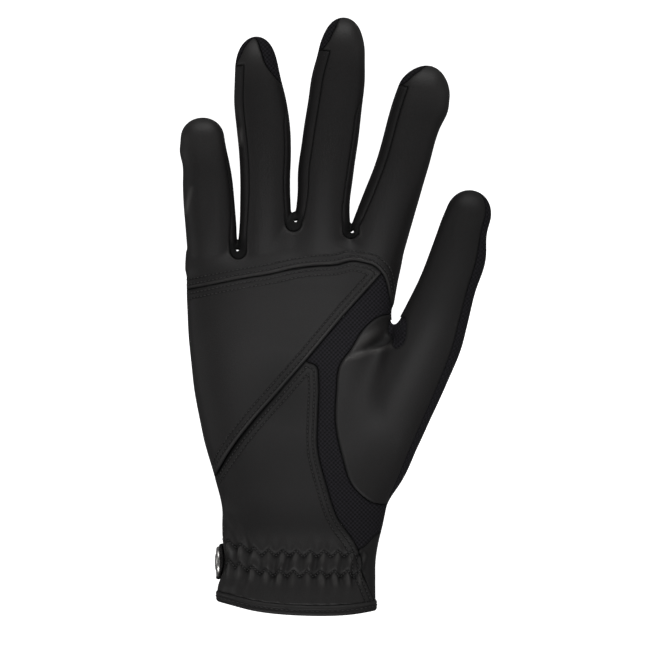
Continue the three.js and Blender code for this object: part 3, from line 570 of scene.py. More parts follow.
fields = {
    "back": edgeField(),
    "fingers": region(seams["finger"], (1, 1), (-1, 1)),
    "upper": region(seams["diagonal"], (1, 1), (-1, 1)),
    "heel": region(seams["heel"], (0, -1), (-1, -1), (-1, 1)),
    "cuffSide": region(seams["cuffSide"], (-1, -1), (1, -1)),
    "thumb": outlineField(np.concatenate([seams["thumb"], thumbRim])),
    "thumbBack": outlineField(np.concatenate([seams["thumbBack"], thumbRim])),
    "thumbUnder": thumbPlane(),
    "gusset": np.maximum(outlineField(gussetOutline), -edgeField() - gussetBack),
    "cuffZone": basePoints[:, 1] - alongPalm(cuff["backSeam"]),
    "slit": np.maximum(outlineField(slitOutline), basePoints[:, 2] - hand["wristThickness"] / 2),
    "hem": region(hemPath, (1, -1), (-1, -1)),
    "binding": region(hemPath + [0, cuff["bindingHeight"]], (1, -1), (-1, -1)),
    "strip0": stripField(0), "strip1": stripField(1), "strip2": stripField(2),
    "fabric": fabricField(),
    "holes": holesField(),
    "tab": tabField(),
}
print("Fields:", ", ".join(fields))


# Cutting the skin into panels

skin = {"points": basePoints, "normals": baseNormals, "triangles": baseTriangles, "fields": fields}


def splitAt(skin, values):                       # puts an edge along the line where the values pass 0
    values = np.where(np.abs(values) < 1e-4, -1e-4, values)
    triangles, points = skin["triangles"], skin["points"]
    sign = values > 0
    signs = sign[triangles]
    mixed = signs.any(1) & ~signs.all(1)
    if not mixed.any():
        return skin, values
    odd = signs[mixed]
    lone = np.where(odd.sum(1) == 1, odd.argmax(1), (~odd).argmax(1))
    a, b, c = np.take_along_axis(triangles[mixed], (lone[:, None] + np.arange(3)) % 3, 1).T
    pairs = np.sort(np.concatenate([np.stack([a, b], 1), np.stack([a, c], 1)]), 1)
    pairs, back = np.unique(pairs, axis=0, return_inverse=True)
    back = back.ravel() + len(points)
    i, j = pairs.T
    share = values[i] / (values[i] - values[j])

    def grown(column):
        rest = share if column.ndim == 1 else share[:, None]
        return np.concatenate([column, column[i] + (column[j] - column[i]) * rest])

    ab, ac = back[:len(a)], back[len(a):]
    made = [np.stack(corners, 1) for corners in ((a, ab, ac), (ab, b, c), (ab, c, ac))]
    return {
        "points": grown(points), "normals": grown(skin["normals"]),
        "triangles": np.concatenate([triangles[~mixed], *made]),
        "fields": {name: grown(column) for name, column in skin["fields"].items()},
    }, np.concatenate([values, np.zeros(len(pairs))])


def keepWhere(skin, values):                     # what lies below 0
    skin, values = splitAt(skin, values)
    inside = values[skin["triangles"]].max(1) <= 0
    return {**skin, "triangles": skin["triangles"][inside]}


def compact(skin):
    used, back = np.unique(skin["triangles"], return_inverse=True)
    return {
        "points": skin["points"][used], "normals": skin["normals"][used],
        "triangles": back.reshape(-1, 3),
        "fields": {name: column[used] for name, column in skin["fields"].items()},
    }


def largestPart(skin):
    label = np.arange(len(skin["points"]))
    pairs = np.concatenate([skin["triangles"][:, [0, 1]], skin["triangles"][:, [1, 2]]])
    while True:
        low = np.minimum(label[pairs[:, 0]], label[pairs[:, 1]])
        new = label.copy()
        np.minimum.at(new, pairs[:, 0], low)
        np.minimum.at(new, pairs[:, 1], low)
        new = new[new]
        if (new == label).all():
            break
        label = new
    owner = label[skin["triangles"][:, 0]]
    return compact({**skin, "triangles": skin["triangles"][owner == np.bincount(owner).argmax()]})


def closeShortEdges(skin, reach):                # without the slivers that the cuts leave
    triangles, points = skin["triangles"], skin["points"]
    for _ in range(4):
        pairs = np.unique(np.sort(edgesOf(triangles), 1), axis=0)
        short = pairs[np.linalg.norm(points[pairs[:, 0]] - points[pairs[:, 1]], axis=1) < reach]
        if not len(short):
            break
        target = np.arange(len(points))
        taken = np.zeros(len(points), bool)
        for i, j in short:
            if not taken[i] and not taken[j]:
                target[i] = j
                taken[i] = taken[j] = True
        triangles = target[triangles]
        whole = (triangles[:, 0] != triangles[:, 1]) & (triangles[:, 1] != triangles[:, 2])
        triangles = triangles[whole & (triangles[:, 0] != triangles[:, 2])]
    return compact({**skin, "triangles": triangles})


making = {
    "gap": 0.16, "lipRows": (0.4, 0.95, 1.7), "shortest": 0.13,
    "thinning": 0.4, "thinWidth": 1.5,           # how much thinner the walls are at their edges
    # painted shade towards each panel's edges, and the width it fades over
    "edgeShade": 0.75, "edgeShadeWidth": 0.7,
}

# Two rows of stitches run beside these seams, at these distances from them
stitching = {
    "rows": (1.8, 3.9), "clear": 1.1, "none": 20.0,
    "pitch": 1.6, "length": 1.15, "radius": 0.24, "proud": 0.12, "facing": 0.3,
    "seams": {
        "finger_front": ["fingers"], "palm_panel": ["fingers", "upper"], "heel_panel": ["upper", "heel"],
    },
}


def cutPanel(*borders, plain=()):                # each border is a function of the fields, below 0 inside
    panel = skin
    for border in plain:
        panel = compact(keepWhere(panel, border(panel["fields"])))
    for border in borders:
        values = border(panel["fields"]) + making["gap"] / 2
        panel = compact(keepWhere(panel, values))
    panel = largestPart(panel)
    for depth in making["lipRows"]:
        value = np.max([border(panel["fields"]) for border in borders], axis=0)
        panel = splitAt(panel, value + making["gap"] / 2 + depth)[0]
    panel = closeShortEdges(panel, making["shortest"])
    value = np.max([border(panel["fields"]) for border in borders], axis=0)
    panel["inset"] = np.maximum(-value - making["gap"] / 2, 0)
    panel["normals"] /= np.linalg.norm(panel["normals"], axis=1)[:, None]
    return panel


def seamAway(panel, *names):                     # how far the nearest of these seams is
    return np.min([np.abs(panel["fields"][name]) for name in names], axis=0)


def outside(*names):                              # what stays outside each of these fields
    return [lambda f, name=name: -f[name] for name in names]


def within(*names):
    return [lambda f, name=name: f[name] for name in names]


trimmed = outside("holes")
unstripped = trimmed + outside("strip0", "strip1", "strip2", "gusset")
frontFace = unstripped + [lambda f: -np.minimum(f["back"], f["fabric"])]
palmFace = frontFace + outside("thumb")
hemmed = outside("binding")
panels = {
    "finger_front": cutPanel(*palmFace, *within("fingers"), plain=hemmed),
    "palm_panel": cutPanel(*palmFace, *outside("fingers"), *within("upper"), plain=hemmed),
    "heel_panel": cutPanel(*palmFace, *outside("fingers", "upper"), *within("heel"), plain=hemmed),
    "palm_mesh_insert": cutPanel(*palmFace, *outside("fingers", "upper", "heel", "cuffSide"), plain=hemmed),
    "thumb_front": cutPanel(*unstripped, *within("thumb"),
        lambda f: -np.maximum(f["thumbUnder"], f["thumbBack"]),
        lambda f: -np.maximum(f["back"], -f["thumbBack"])),
    "thumb_back": cutPanel(*unstripped, *within("thumbBack", "thumbUnder")),
    "thumb_gusset": cutPanel(lambda f: f["gusset"] - gussetUnder),
    "back_panel": cutPanel(*unstripped, lambda f: np.minimum(f["back"], f["fabric"]),
        *outside("thumbBack", "cuffZone")),
    "cuff_back": cutPanel(*unstripped, *outside("slit"), *within("cuffZone"),
        lambda f: np.minimum(f["back"], np.maximum(f["cuffSide"], -f["heel"])), plain=hemmed),
    "hem_binding": cutPanel(*within("binding"), *outside("hem", "slit")),
    "closing_tab": cutPanel(*within("tab")),
}
for i in range(3):
    name = f"strip_{fingers[i]['name']}_{fingers[i + 1]['name']}"
    panels[name] = cutPanel(*trimmed, *within(f"strip{i}"))
print("Panels:", {name: len(panel["triangles"]) for name, panel in panels.items()})


# Relief of the panels, along the normals of the form

# Folds of the palm face: ends as shares of the palm, width of its width, height of its thickness, and painted
# highlight
folds = table("fromX fromY toX toY width height wear",
    (-0.05, 0.32, 0.02, 0.6, 0.22, -0.053, 0),       # hollow of the palm
    (0.272, 0.56, 0.482, 0.612, 0.014, 0.035, 1.5),  # crease below the thumb's crotch, with a painted highlight
    (0.38, 0.605, 0.5, 0.65, 0.03, -0.075, 0),       # pocket above the crease
    (0.31, 0.605, 0.415, 0.66, 0.024, 0.03, 1.0),    # fold in the pocket, with a painted highlight
    (-0.325, 0.03, -0.215, -0.11, 0.026, 0.045, 0.12),   # folds of the heel, two with a faint painted highlight
    (-0.29, 0.0, -0.17, -0.16, 0.022, -0.036, 0),
    (-0.345, -0.04, -0.26, -0.15, 0.02, 0.034, 0.1),
    (-0.22, -0.05, -0.13, -0.17, 0.024, 0.024, 0),
    (-0.42, 1.02, -0.36, 1.28, 0.05, -0.018, 0),     # hollow of the little finger
    (-0.472, 1.188, -0.5, 1.1, 0.011, 0.012, 1.5),   # painted highlights along the edges of two fingers
    (-0.24, 1.35, -0.238, 1.405, 0.011, 0.012, 1.5))


def foldShapes(points):
    for fromX, fromY, toX, toY, width, height, wear in zip(*folds.values()):
        start, end = place(fromX, fromY), place(toX, toY)
        line = end - start
        share = np.clip((points[:, :2] - start) @ line / (line @ line), 0, 1)
        away = np.linalg.norm(points[:, :2] - start - share[:, None] * line, axis=1)
        shape = np.exp(-((away / (width * hand["palmWidth"])) ** 2)) * (0.5 + 0.5 * np.sin(math.pi * share))
        yield shape, height * hand["palmThickness"], wear


def ripples(points, size, seed):                 # soft unevenness, the same each run
    draws = np.random.default_rng(seed)
    total = np.zeros(len(points))
    for _ in range(7):
        direction = draws.normal(size=3)
        direction /= np.linalg.norm(direction)
        length = size * draws.uniform(0.7, 1.4)
        total += np.sin(points @ direction * 2 * math.pi / length + draws.uniform(0, 6.28))
    return total / 7


# The elastic draws the cuff into ruffles between and beside two zigzag rows
gathers = {
    "pitch": 5.45, "peakAt": -1.4, "peakShift": -1.2, "shiftOver": 8.0, "zigzag": 1.4,
    "height": 0.78, "pinch": 0.62, "sewnWidth": 0.85, "spread": 8.5,
    "above": 0.7, "below": 0.2, "belowGain": 0.9,
    "left": (-36, -29), "right": (-30, -23), "front": (-0.1, 0.35),      # where the ruffles fade in
    # painted shade along the sewn rows and in the hollows, painted highlight streaks on the ruffles below the
    # rows
    "sewnShade": 0.8, "hollowShade": 0.35, "wear": 1.3,
    "streakStart": (-1.0, 0.5), "streaks": ((4.5, 3), (6, 4)),
    "rows": (
        table("around y", (-34, -55), (-26.6, -56.6), (-16.1, -59.4), (-5.6, -59.8), (4.9, -60.1),
            (30, -60.1)),
        table("around y", (-34, -63), (-25, -64.9), (-18.8, -66.4), (-11, -67.7), (4.9, -68), (30, -68)),
    ),
}
gathers["shifts"] = (0, gathers["peakShift"])


def cuffAround(points, steps=360):               # distance round the cuff from the middle of its front
    left, right, top, bottom = limbSides(palm, snapY)
    across, up = points[:, 0] - (left + right) / 2, points[:, 2] - (top + bottom) / 2
    angles = np.linspace(-math.pi, math.pi, 2 * steps + 1)
    n = palm["squareness"]
    u, v = np.abs(np.sin(angles)) / (right - left) * 2, np.abs(np.cos(angles)) / (top - bottom) * 2
    ring = np.stack([np.sin(angles), np.cos(angles)], 1) / ((u**n + v**n) ** (1 / n))[:, None]
    distance = np.concatenate([[0], np.cumsum(np.linalg.norm(np.diff(ring, axis=0), axis=1))])
    return np.interp(np.arctan2(across, up), angles, distance - distance[steps])


def bulge(away, middle, width):
    return np.exp(-(((away - middle) / width) ** 2))


def zigzagAway(points, row, shift):
    around = cuffAround(points)
    wave = ((around - gathers["peakAt"] - shift) / gathers["pitch"]) % 1
    wave = 2 * np.abs(2 * wave - 1) - 1
    return points[:, 1] - np.interp(around, row["around"], row["y"]) - gathers["zigzag"] * wave


def gatherShapes(points, normals):               # relief, painted shade and painted highlight of the ruffles
    around, y = cuffAround(points), points[:, 1]
    upper, lower = (np.interp(around, row["around"], row["y"]) for row in gathers["rows"])
    shift = gathers["peakShift"] * fade(upper - y, 0, gathers["shiftOver"])
    turns = 2 * math.pi * (around - gathers["peakAt"] - shift) / gathers["pitch"]
    ridges = np.cos(turns + 0.8 * ripples(points, 17.0, 11)) * (0.9 + 0.9 * ripples(points, 12.0, 5))
    spread = gathers["spread"]
    strength = np.where(y > upper, gathers["above"] * fade(upper + spread - y, 0, spread) ** 1.5, 1.0)
    faded = gathers["below"] + gathers["belowGain"] * fade(y - lower + spread, 0, spread)
    strength = np.where(y < lower, faded, strength)
    sewn = np.max([
        bulge(zigzagAway(points, row, shift), 0, gathers["sewnWidth"])
        for row, shift in zip(gathers["rows"], gathers["shifts"])
    ], axis=0)
    window = fade(around, *gathers["left"]) * fade(-around, *gathers["right"])
    window = window * fade(normals[:, 2], *gathers["front"])
    streaks = 0
    for level, (length, end) in zip((upper, lower), gathers["streaks"]):
        streaks = streaks + fade(level - y, *gathers["streakStart"]) * fade(y - level + length, 0, end)
    rise = gathers["height"] * strength * ridges - gathers["pinch"] * sewn
    # painted shade in the hollows, painted highlight streaks on the ridges below each row
    hollow = gathers["hollowShade"] * np.minimum(strength, 1) * fade(-ridges, 0.0, 1.0)
    wear = gathers["wear"] * streaks * fade(ridges, 0.2, 1.1) * (1 - sewn)
    return window * rise, window * (gathers["sewnShade"] * sewn + hollow), window * wear


# Painted highlight and painted shade over parts of the leather: by how much, and between which places along
# the glove
tones = {
    "tips": {"wear": 0.42, "from": -22.0, "to": -6.0},       # painted highlight, from the ends of the fingers
    "cuff": {"wear": 0.24, "from": 50.0, "to": 57.0},        # painted highlight, below the origin
    "heel": {"shade": 0.1, "from": 8.0, "to": 24.0},         # painted shade, below the origin
    # painted shade over the middle of the thumb
    "thumb": {"shade": 0.3, "from": 24.0, "to": 42.0, "backFrom": 62.0, "backTo": 84.0},
}


def tipShare(points):                            # 1 at the fingertips, 0 along the fingers
    share = np.zeros(len(points))
    for finger, limb in zip(fingers, limbs):
        t, a = limbPlace(limb, points)
        middle = (limbSide(limb, "left", t) + limbSide(limb, "right", t)) / 2
        beside = np.abs(a - middle) < 0.6 * finger["width"]
        ending = fade(t - finger["length"], tones["tips"]["from"], tones["tips"]["to"])
        share = np.maximum(share, beside * ending)
    return share


# Raised lines along the seams: panel, seam, distance from it, width, height and painted highlight
seamLines = (
    ("palm_panel", "upper", 0.6, 1.5, 0.32, 0),
    ("palm_panel", "upper", 0.9, 0.4, 0, 0.55),
    ("finger_front", "fingers", 0.5, 1.2, 0.2, 0),
    ("finger_front", "fingers", 0.8, 0.4, 0, 0.4),
)
webLines = ((0.6, 0.45, 0.3, 0), (0.7, 0.4, 0, 0.35))        # the same round the webs, without panel and seam
# stripShade is painted shade in the strips at the webs
webSpread = {"rim": (8.0, 5.0), "strip": (9.0, 5.0), "stripShade": 0.95}
grooves = {
    "heel": {"dip": 0.95, "width": 2.4, "shade": 1.2, "shadeWidth": 1.5, "from": -14.0, "to": 22.0},
    "palm": {"dip": 0.3, "width": 1.4, "shadeWidth": 0.8, "least": 0.3, "left": (-4, 4), "right": (-27, -22)},
}
sunk = {"mesh": 0.25, "gusset": 0.5}             # how far the fabric lies below the leather
pockets = {"from": -1.5, "shade": 0.45}          # folds at least this deep get painted shade


def websOver(points, spread):                    # 1 at the webs between the fingers, 0 along the fingers
    reach, length = spread
    return fade(np.interp(points[:, 0], *np.array(crotches).T) + reach - points[:, 1], 0, length)


# Relief, painted shade and painted highlight of one panel. The shade is painted into edges, grooves, pockets
# and webs, the highlight onto ridges, lips, fingertips and the cuff.
def dress(name, panel, style):
    points, normals, inset, f = panel["points"], panel["normals"], panel["inset"], panel["fields"]
    facing = fade(normals[:, 2], 0.0, 0.7)
    low = -points[:, 1]
    rise = style["unevenness"] * fade(points[:, 2], 1.0, 4.0) * ripples(points, 26.0, 3)
    # painted shade towards the panel's edges
    shade = making["edgeShade"] * np.clip(1 - inset / making["edgeShadeWidth"], 0, 1)
    wear = np.zeros(len(points))
    # the folds' relief and painted highlight, and painted shade in the deepest
    for shape, height, highlight in foldShapes(points):
        rise += facing * height * shape
        wear += fade(normals[:, 2], -0.2, 0.1) * highlight * shape
        if height < pockets["from"]:
            shade += pockets["shade"] * facing * shape
    rolled = np.clip(1 - inset / style["rollWidth"], 0, 1) ** 2
    rise -= style["rollDepth"] * fade(np.abs(normals[:, 2]), 0.2, 0.75) * rolled
    # the ruffles' relief, painted shade and painted highlight
    for total, part in zip((rise, shade, wear), gatherShapes(points, normals)):
        total += part
    # raised seam lips, some with a painted highlight line
    for dressed, seam, at, width, height, highlight in seamLines:
        if name == dressed:
            line = facing * bulge(np.abs(f[seam]), at, width)
            rise += height * line
            wear += highlight * line
    # the open seam's groove, with painted shade along it
    if name == "palm_panel":
        across, groove = np.abs(f["fingers"]), grooves["palm"]
        opened = fade(points[:, 0], *groove["left"]) * fade(-points[:, 0], *groove["right"])
        opened = groove["least"] + (1 - groove["least"]) * opened
        rise -= facing * groove["dip"] * opened * np.clip(1 - across / groove["width"], 0, 1)
        shade += facing * opened * bulge(across, 0, groove["shadeWidth"])
    # painted highlight at the fingertips and round the webs' rims
    if name == "finger_front":
        wear += tones["tips"]["wear"] * tipShare(points)
        slot = np.min([f["strip0"], f["strip1"], f["strip2"]], axis=0)
        for at, width, height, highlight in webLines:
            line = facing * websOver(points, webSpread["rim"]) * bulge(slot, at, width)
            rise += height * line
            wear += highlight * line
    # painted shade over the middle of the thumb
    if name == "thumb_front":
        tone = tones["thumb"]
        upper = fade(points[:, 1], tone["from"], tone["to"])
        shade += tone["shade"] * upper * (1 - fade(points[:, 1], tone["backFrom"], tone["backTo"]))
    # painted highlight over the cuff, painted shade over the heel and in the diagonal seam's groove
    if name == "heel_panel":
        cuffShare, heelShare = (
            fade(low, tones[part]["from"], tones[part]["to"]) for part in ("cuff", "heel")
        )
        wear += tones["cuff"]["wear"] * cuffShare
        shade += tones["heel"]["shade"] * heelShare * (1 - cuffShare)
        groove, across = grooves["heel"], np.abs(f["upper"])
        deepAndShaded = fade(low, groove["from"], groove["to"])
        rise -= facing * groove["dip"] * deepAndShaded * np.clip(1 - across / groove["width"], 0, 1) ** 1.3
        shade += facing * deepAndShaded * groove["shade"] * bulge(across, 0, groove["shadeWidth"])
    # painted shade in the strips at the webs
    if name.startswith("strip"):
        shade += webSpread["stripShade"] * websOver(points, webSpread["strip"])
    if name in meshPanels:
        rise -= facing * sunk["mesh"]
    if name == "thumb_gusset":
        rise -= sunk["gusset"]
    return rise, np.clip(shade, 0, 1), np.clip(wear, 0, 1)


# From panels to pieces

def writeMesh(name, points, triangles, attributes=None):
    mesh = bpy.data.meshes.new(name)
    mesh.from_pydata((points / metre).tolist(), [], triangles.tolist())
    mesh.polygons.foreach_set("use_smooth", np.ones(len(mesh.polygons), bool))
    for attribute, values in (attributes or {}).items():
        layer = mesh.attributes.new(attribute, "FLOAT", "POINT")
        layer.data.foreach_set("value", values.astype(np.float32))
    mesh.update()
    piece = bpy.data.objects.new(name, mesh)
    bpy.context.scene.collection.objects.link(piece)
    return piece


def borderEdges(triangles):
    edges = edgesOf(triangles)
    codes = edges[:, 0] * (edges.max() + 1) + edges[:, 1]
    mirrored = edges[:, 1] * (edges.max() + 1) + edges[:, 0]
    return edges[~np.isin(codes, mirrored)]


def shellPiece(name, panel, outer, inner, attributes):       # outer and inner are heights above the form
    points, normals, triangles = panel["points"], panel["normals"], panel["triangles"]
    count = len(points)
    both = np.concatenate([points + normals * outer[:, None], points + normals * inner[:, None]])
    a, b = borderEdges(triangles).T
    walls = np.concatenate([np.stack([b, a, a + count], 1), np.stack([b, a + count, b + count], 1)])
    faces = np.concatenate([triangles, triangles[:, ::-1] + count, walls])
    attributes = {
        **attributes,
        "side": fade(np.abs(normals[:, 0]), 0.55, 0.8), "end": fade(np.abs(normals[:, 1]), 0.6, 0.85),
    }
    doubled = {key: np.tile(values, 2) for key, values in attributes.items()}
    return writeMesh(name, both, faces, doubled)


leatherStyle = {"rollDepth": 0.45, "rollWidth": 1.0, "unevenness": 0.22}
meshStyle = {"rollDepth": 0.3, "rollWidth": 0.8, "unevenness": 0.15}
meshPanels = ("palm_mesh_insert", "thumb_back", "thumb_gusset", "back_panel")


def rowLines(panel, outer, values, keep):        # where the values pass 0, as chains of points on the outside
    triangles, points, normals = panel["triangles"], panel["points"], panel["normals"]
    above = values > 0
    ends = []
    for i, j in ((0, 1), (1, 2), (2, 0)):
        a, b = np.sort(triangles[:, [i, j]], axis=1).T
        ends.append(np.where(above[a] != above[b], a * len(points) + b, -1))
    ends = np.sort(np.stack(ends, 1), axis=1)[:, 1:]
    codes, links = np.unique(ends[ends[:, 0] >= 0], return_inverse=True)
    a, b = codes // len(points), codes % len(points)
    share = (values[a] / (values[a] - values[b]))[:, None]
    outside = points + normals * outer[:, None]
    spots = outside[a] + (outside[b] - outside[a]) * share
    ups = normals[a] + (normals[b] - normals[a]) * share
    links = links.reshape(-1, 2)
    kept = keep[a] & keep[b]
    beside = {}
    for i, j in links[kept[links].all(1)].tolist():
        beside.setdefault(i, []).append(j)
        beside.setdefault(j, []).append(i)
    lines, done = [], set()
    for start in sorted(beside, key=lambda i: (len(beside[i]), i)):      # the ends of the rows come first
        chain = []
        following = [start] if start not in done else []
        while following:
            chain.append(following[0])
            done.add(following[0])
            following = [i for i in beside[chain[-1]] if i not in done]
        if len(chain) > 8:
            lines.append((spots[chain], ups[chain]))
    return lines


seamRows, zigzagRows, hemRow = [], [], []
pieces = {}
for name, panel in panels.items():
    if name in ("hem_binding", "closing_tab"):
        continue
    style = meshStyle if name in meshPanels else leatherStyle
    outer, shade, wear = dress(name, panel, style)
    thinned = making["thinning"] * np.clip(1 - panel["inset"] / making["thinWidth"], 0, 1)
    rows = np.full(len(outer), stitching["none"])
    keep = (panel["inset"] > stitching["clear"]) & (panel["normals"][:, 2] > stitching["facing"])
    if name in stitching["seams"]:
        rows = seamAway(panel, *stitching["seams"][name])
        for away in stitching["rows"]:
            seamRows += rowLines(panel, outer, rows - away, keep)
    if name == "heel_panel":
        for row, shift in zip(gathers["rows"], gathers["shifts"]):
            zigzagRows += rowLines(panel, outer, zigzagAway(panel["points"], row, shift), keep)
    pieces[name] = shellPiece(name, panel, outer, outer - hand["wall"] + thinned,
        {"rows": rows, "shade": shade, "wear": wear})

# The binding: painted shade towards its edges, and a painted highlight line just below its top.
bindingStyle = {
    "rollDepth": 0.55, "rollWidth": 1.3, "row": 2.3, "clear": 0.8, "flat": 0.25, "flatWidth": 0.6,
    "shade": 0.6, "wear": 0.55, "paintedHighlightAt": 0.8, "paintedHighlightWidth": 0.45,
}
binding = panels["hem_binding"]
down = -binding["fields"]["binding"]             # how far below the top of the binding
rounding = bindingStyle["rollDepth"] * np.clip(1 - binding["inset"] / bindingStyle["rollWidth"], 0, 1) ** 2
bindingOuter = cuff["bindingProud"] - rounding
bindingOuter -= bindingStyle["flat"] * bulge(down, bindingStyle["row"], bindingStyle["flatWidth"])
keep = binding["inset"] > bindingStyle["clear"]
hemRow += rowLines(binding, bindingOuter, down - bindingStyle["row"], keep)
bindingInner = rounding - hand["wall"] - cuff["bindingProud"]
pieces["hem_binding"] = shellPiece("hem_binding", binding, bindingOuter, bindingInner, {
    "rows": np.full(len(rounding), stitching["none"]),
    "shade": bindingStyle["shade"] * np.clip(1 - binding["inset"] / making["edgeShadeWidth"], 0, 1),
    "wear": bindingStyle["wear"] * bulge(down, bindingStyle["paintedHighlightAt"], bindingStyle["paintedHighlightWidth"]),
})

tabStyle = {"rollDepth": 0.5, "rollWidth": 1.0, "under": 0.6}
tab = panels["closing_tab"]
rounding = tabStyle["rollDepth"] * np.clip(1 - tab["inset"] / tabStyle["rollWidth"], 0, 1) ** 2
tabOuter = cuff["tabGap"] + cuff["tabThickness"] - rounding
tabInner = cuff["tabGap"] + rounding * tabStyle["under"]
# The tab's inset stands in for its rows, so the leather presses two channels round it, darkened with painted
# shade.
pieces["closing_tab"] = shellPiece("closing_tab", tab, tabOuter, tabInner, {"rows": tab["inset"]})
print("Pieces:", len(pieces))


# The snap's cap

snap = {
    "profile": ((0.0, 2.2), (2.8, 2.07), (4.3, 1.56), (4.9, 1.7), (5.6, 1.62), (6.1, 1.2), (6.15, 0.4),
                (5.9, -0.1)),                    # radius and height, from the middle to the rim
    "step": 0.25, "turns": 64, "sunk": 0.4,
}


def snapPiece():
    profile = smoothPath(snap["profile"], snap["step"])
    profile = np.concatenate([profile, [[0.0, profile[-1][1]]]])
    turns = snap["turns"]
    left = limbSide(palm, "left", snapY) - cuff["tabGap"] - cuff["tabThickness"] + snap["sunk"]
    angles = np.arange(turns) * 2 * math.pi / turns
    points = [(left - profile[0][1], snapY, snapZ)]
    for radius, height in profile[1:-1]:
        points += [
            (left - height, snapY + radius * math.cos(angle), snapZ + radius * math.sin(angle))
            for angle in angles
        ]
    points.append((left - profile[-1][1], snapY, snapZ))
    rings = len(profile) - 2
    faces = []
    for i in range(turns):
        j = (i + 1) % turns
        faces.append((0, 1 + j, 1 + i))
        for ring in range(rings - 1):
            a, b = 1 + ring * turns + i, 1 + ring * turns + j
            faces += [(a, b, b + turns), (a, b + turns, a + turns)]
        last = 1 + (rings - 1) * turns
        faces.append((last + i, last + j, len(points) - 1))
    return writeMesh("snap_cap", np.array(points), np.array(faces))


pieces["snap_cap"] = snapPiece()


# Shader maths as expressions

class Socket:
    def __init__(self, tree, link):
        self.tree, self.link = tree, link

    def node(self, kind, settings=None, values=None, out=0):
        made = self.tree.nodes.new(kind)
        for name, value in (settings or {}).items():
            if name == "stops":
                while len(made.color_ramp.elements) < len(value):
                    made.color_ramp.elements.new(1)
                for element, (position, colour) in zip(made.color_ramp.elements, value):
                    element.position, element.color = position, (*colour, 1)
            else:
                setattr(made, name, value)
        for name, value in (values or {}).items():
            if isinstance(value, Socket):
                self.tree.links.new(value.link, made.inputs[name])
            else:
                made.inputs[name].default_value = value
        return Socket(self.tree, made.outputs[out])

    def maths(self, operation, first, second=None):
        values = {0: first} if second is None else {0: first, 1: second}
        return self.node("ShaderNodeMath", {"operation": operation}, values)

    def __add__(self, other):
        return self.maths("ADD", self, other)

    def __radd__(self, other):
        return self.maths("ADD", other, self)

    def __sub__(self, other):
        return self.maths("SUBTRACT", self, other)

    def __rsub__(self, other):
        return self.maths("SUBTRACT", other, self)

    def __mul__(self, other):
        return self.maths("MULTIPLY", self, other)

    def __rmul__(self, other):
        return self.maths("MULTIPLY", other, self)

    def mixed(self, low, high):                  # two colours, by this factor
        return self.node("ShaderNodeMix", {"data_type": "RGBA"}, {"Factor": self, 6: low, 7: high}, 2)


def startMaterial(name, constants):
    material = bpy.data.materials.new(name)
    material.use_nodes = True
    tree = material.node_tree
    tree.nodes.clear()
    output = tree.nodes.new("ShaderNodeOutputMaterial")
    shader = tree.nodes.new("ShaderNodeBsdfPrincipled")
    tree.links.new(shader.outputs[0], output.inputs[0])
    for socket, value in constants.items():
        shader.inputs[socket].default_value = value
    return material, shader, Socket(tree, None)


def feed(tree, shader, **links):
    for name, socket in links.items():
        tree.links.new(socket.link, shader.inputs[name.replace("_", " ")])


def surfaceValue(start, name):
    return start.node("ShaderNodeAttribute", {"attribute_name": name}, out=2)


# The leather's colours: mottled dark and light, a lighter one for painted highlight and a near black one for
# painted shade.
leatherLook = {
    "dark": (0.0078, 0.0073, 0.0074, 1), "light": (0.0188, 0.0175, 0.0178, 1),
    "wornAndPaintedHighlight": (0.062, 0.0595, 0.058, 1), "deepAndShaded": (0.0012, 0.0012, 0.0013, 1),
    "roughness": 0.5, "grain": 0.0011, "channelWidth": 0.5,
}


def leatherMaterial(name="Leather", look=leatherLook):
    material, shader, start = startMaterial(name, {"Specular IOR Level": 0.32})
    tree = material.node_tree
    where = start.node("ShaderNodeTexCoord", out=3)
    rows, shade, wear = (surfaceValue(start, value) for value in ("rows", "shade", "wear"))
    channel = 0.0
    for row in stitching["rows"]:
        away = start.maths("ABSOLUTE", rows - row)
        channel = channel + start.maths("MAXIMUM", 1 - away * (1 / look["channelWidth"]), 0.0)
    cloudy = start.node("ShaderNodeTexNoise", values={"Vector": where, "Scale": 45.0, "Detail": 4.0})
    grain = start.node("ShaderNodeTexVoronoi", {"feature": "DISTANCE_TO_EDGE"},
        {"Vector": where, "Scale": 1 / look["grain"]})
    fine = start.node("ShaderNodeTexNoise", values={"Vector": where, "Scale": 2600.0, "Detail": 3.0})
    sewn = start.node("ShaderNodeBump", values={"Height": 1 - channel, "Strength": 1.0, "Distance": 0.00015})
    bump = start.node("ShaderNodeBump", values={
        "Height": grain * 0.6 + fine * 0.5, "Strength": 0.26, "Distance": 0.0003, "Normal": sewn})
    # The base colour: random mottling, lightened with painted highlight, and darkened with painted shade in
    # shaded places and in the stitch channels.
    hide = (cloudy * 0.5 + fine * 1.1 - 0.3).mixed(look["dark"], look["light"])
    hide = (wear * 0.7).mixed(hide, look["wornAndPaintedHighlight"])
    hide = start.maths("MINIMUM", shade + channel * 0.8, 1.0).mixed(hide, look["deepAndShaded"])
    roughness = look["roughness"] - 0.04 + cloudy * 0.1 + shade * 0.35 - wear * 0.12
    feed(tree, shader, Base_Color=hide, Roughness=roughness, Normal=bump)
    return material


fabricLook = {
    "thread": (0.0215, 0.0198, 0.0246, 1), "hole": (0.0004, 0.0004, 0.0008, 1), "pitch": 0.0017,
}


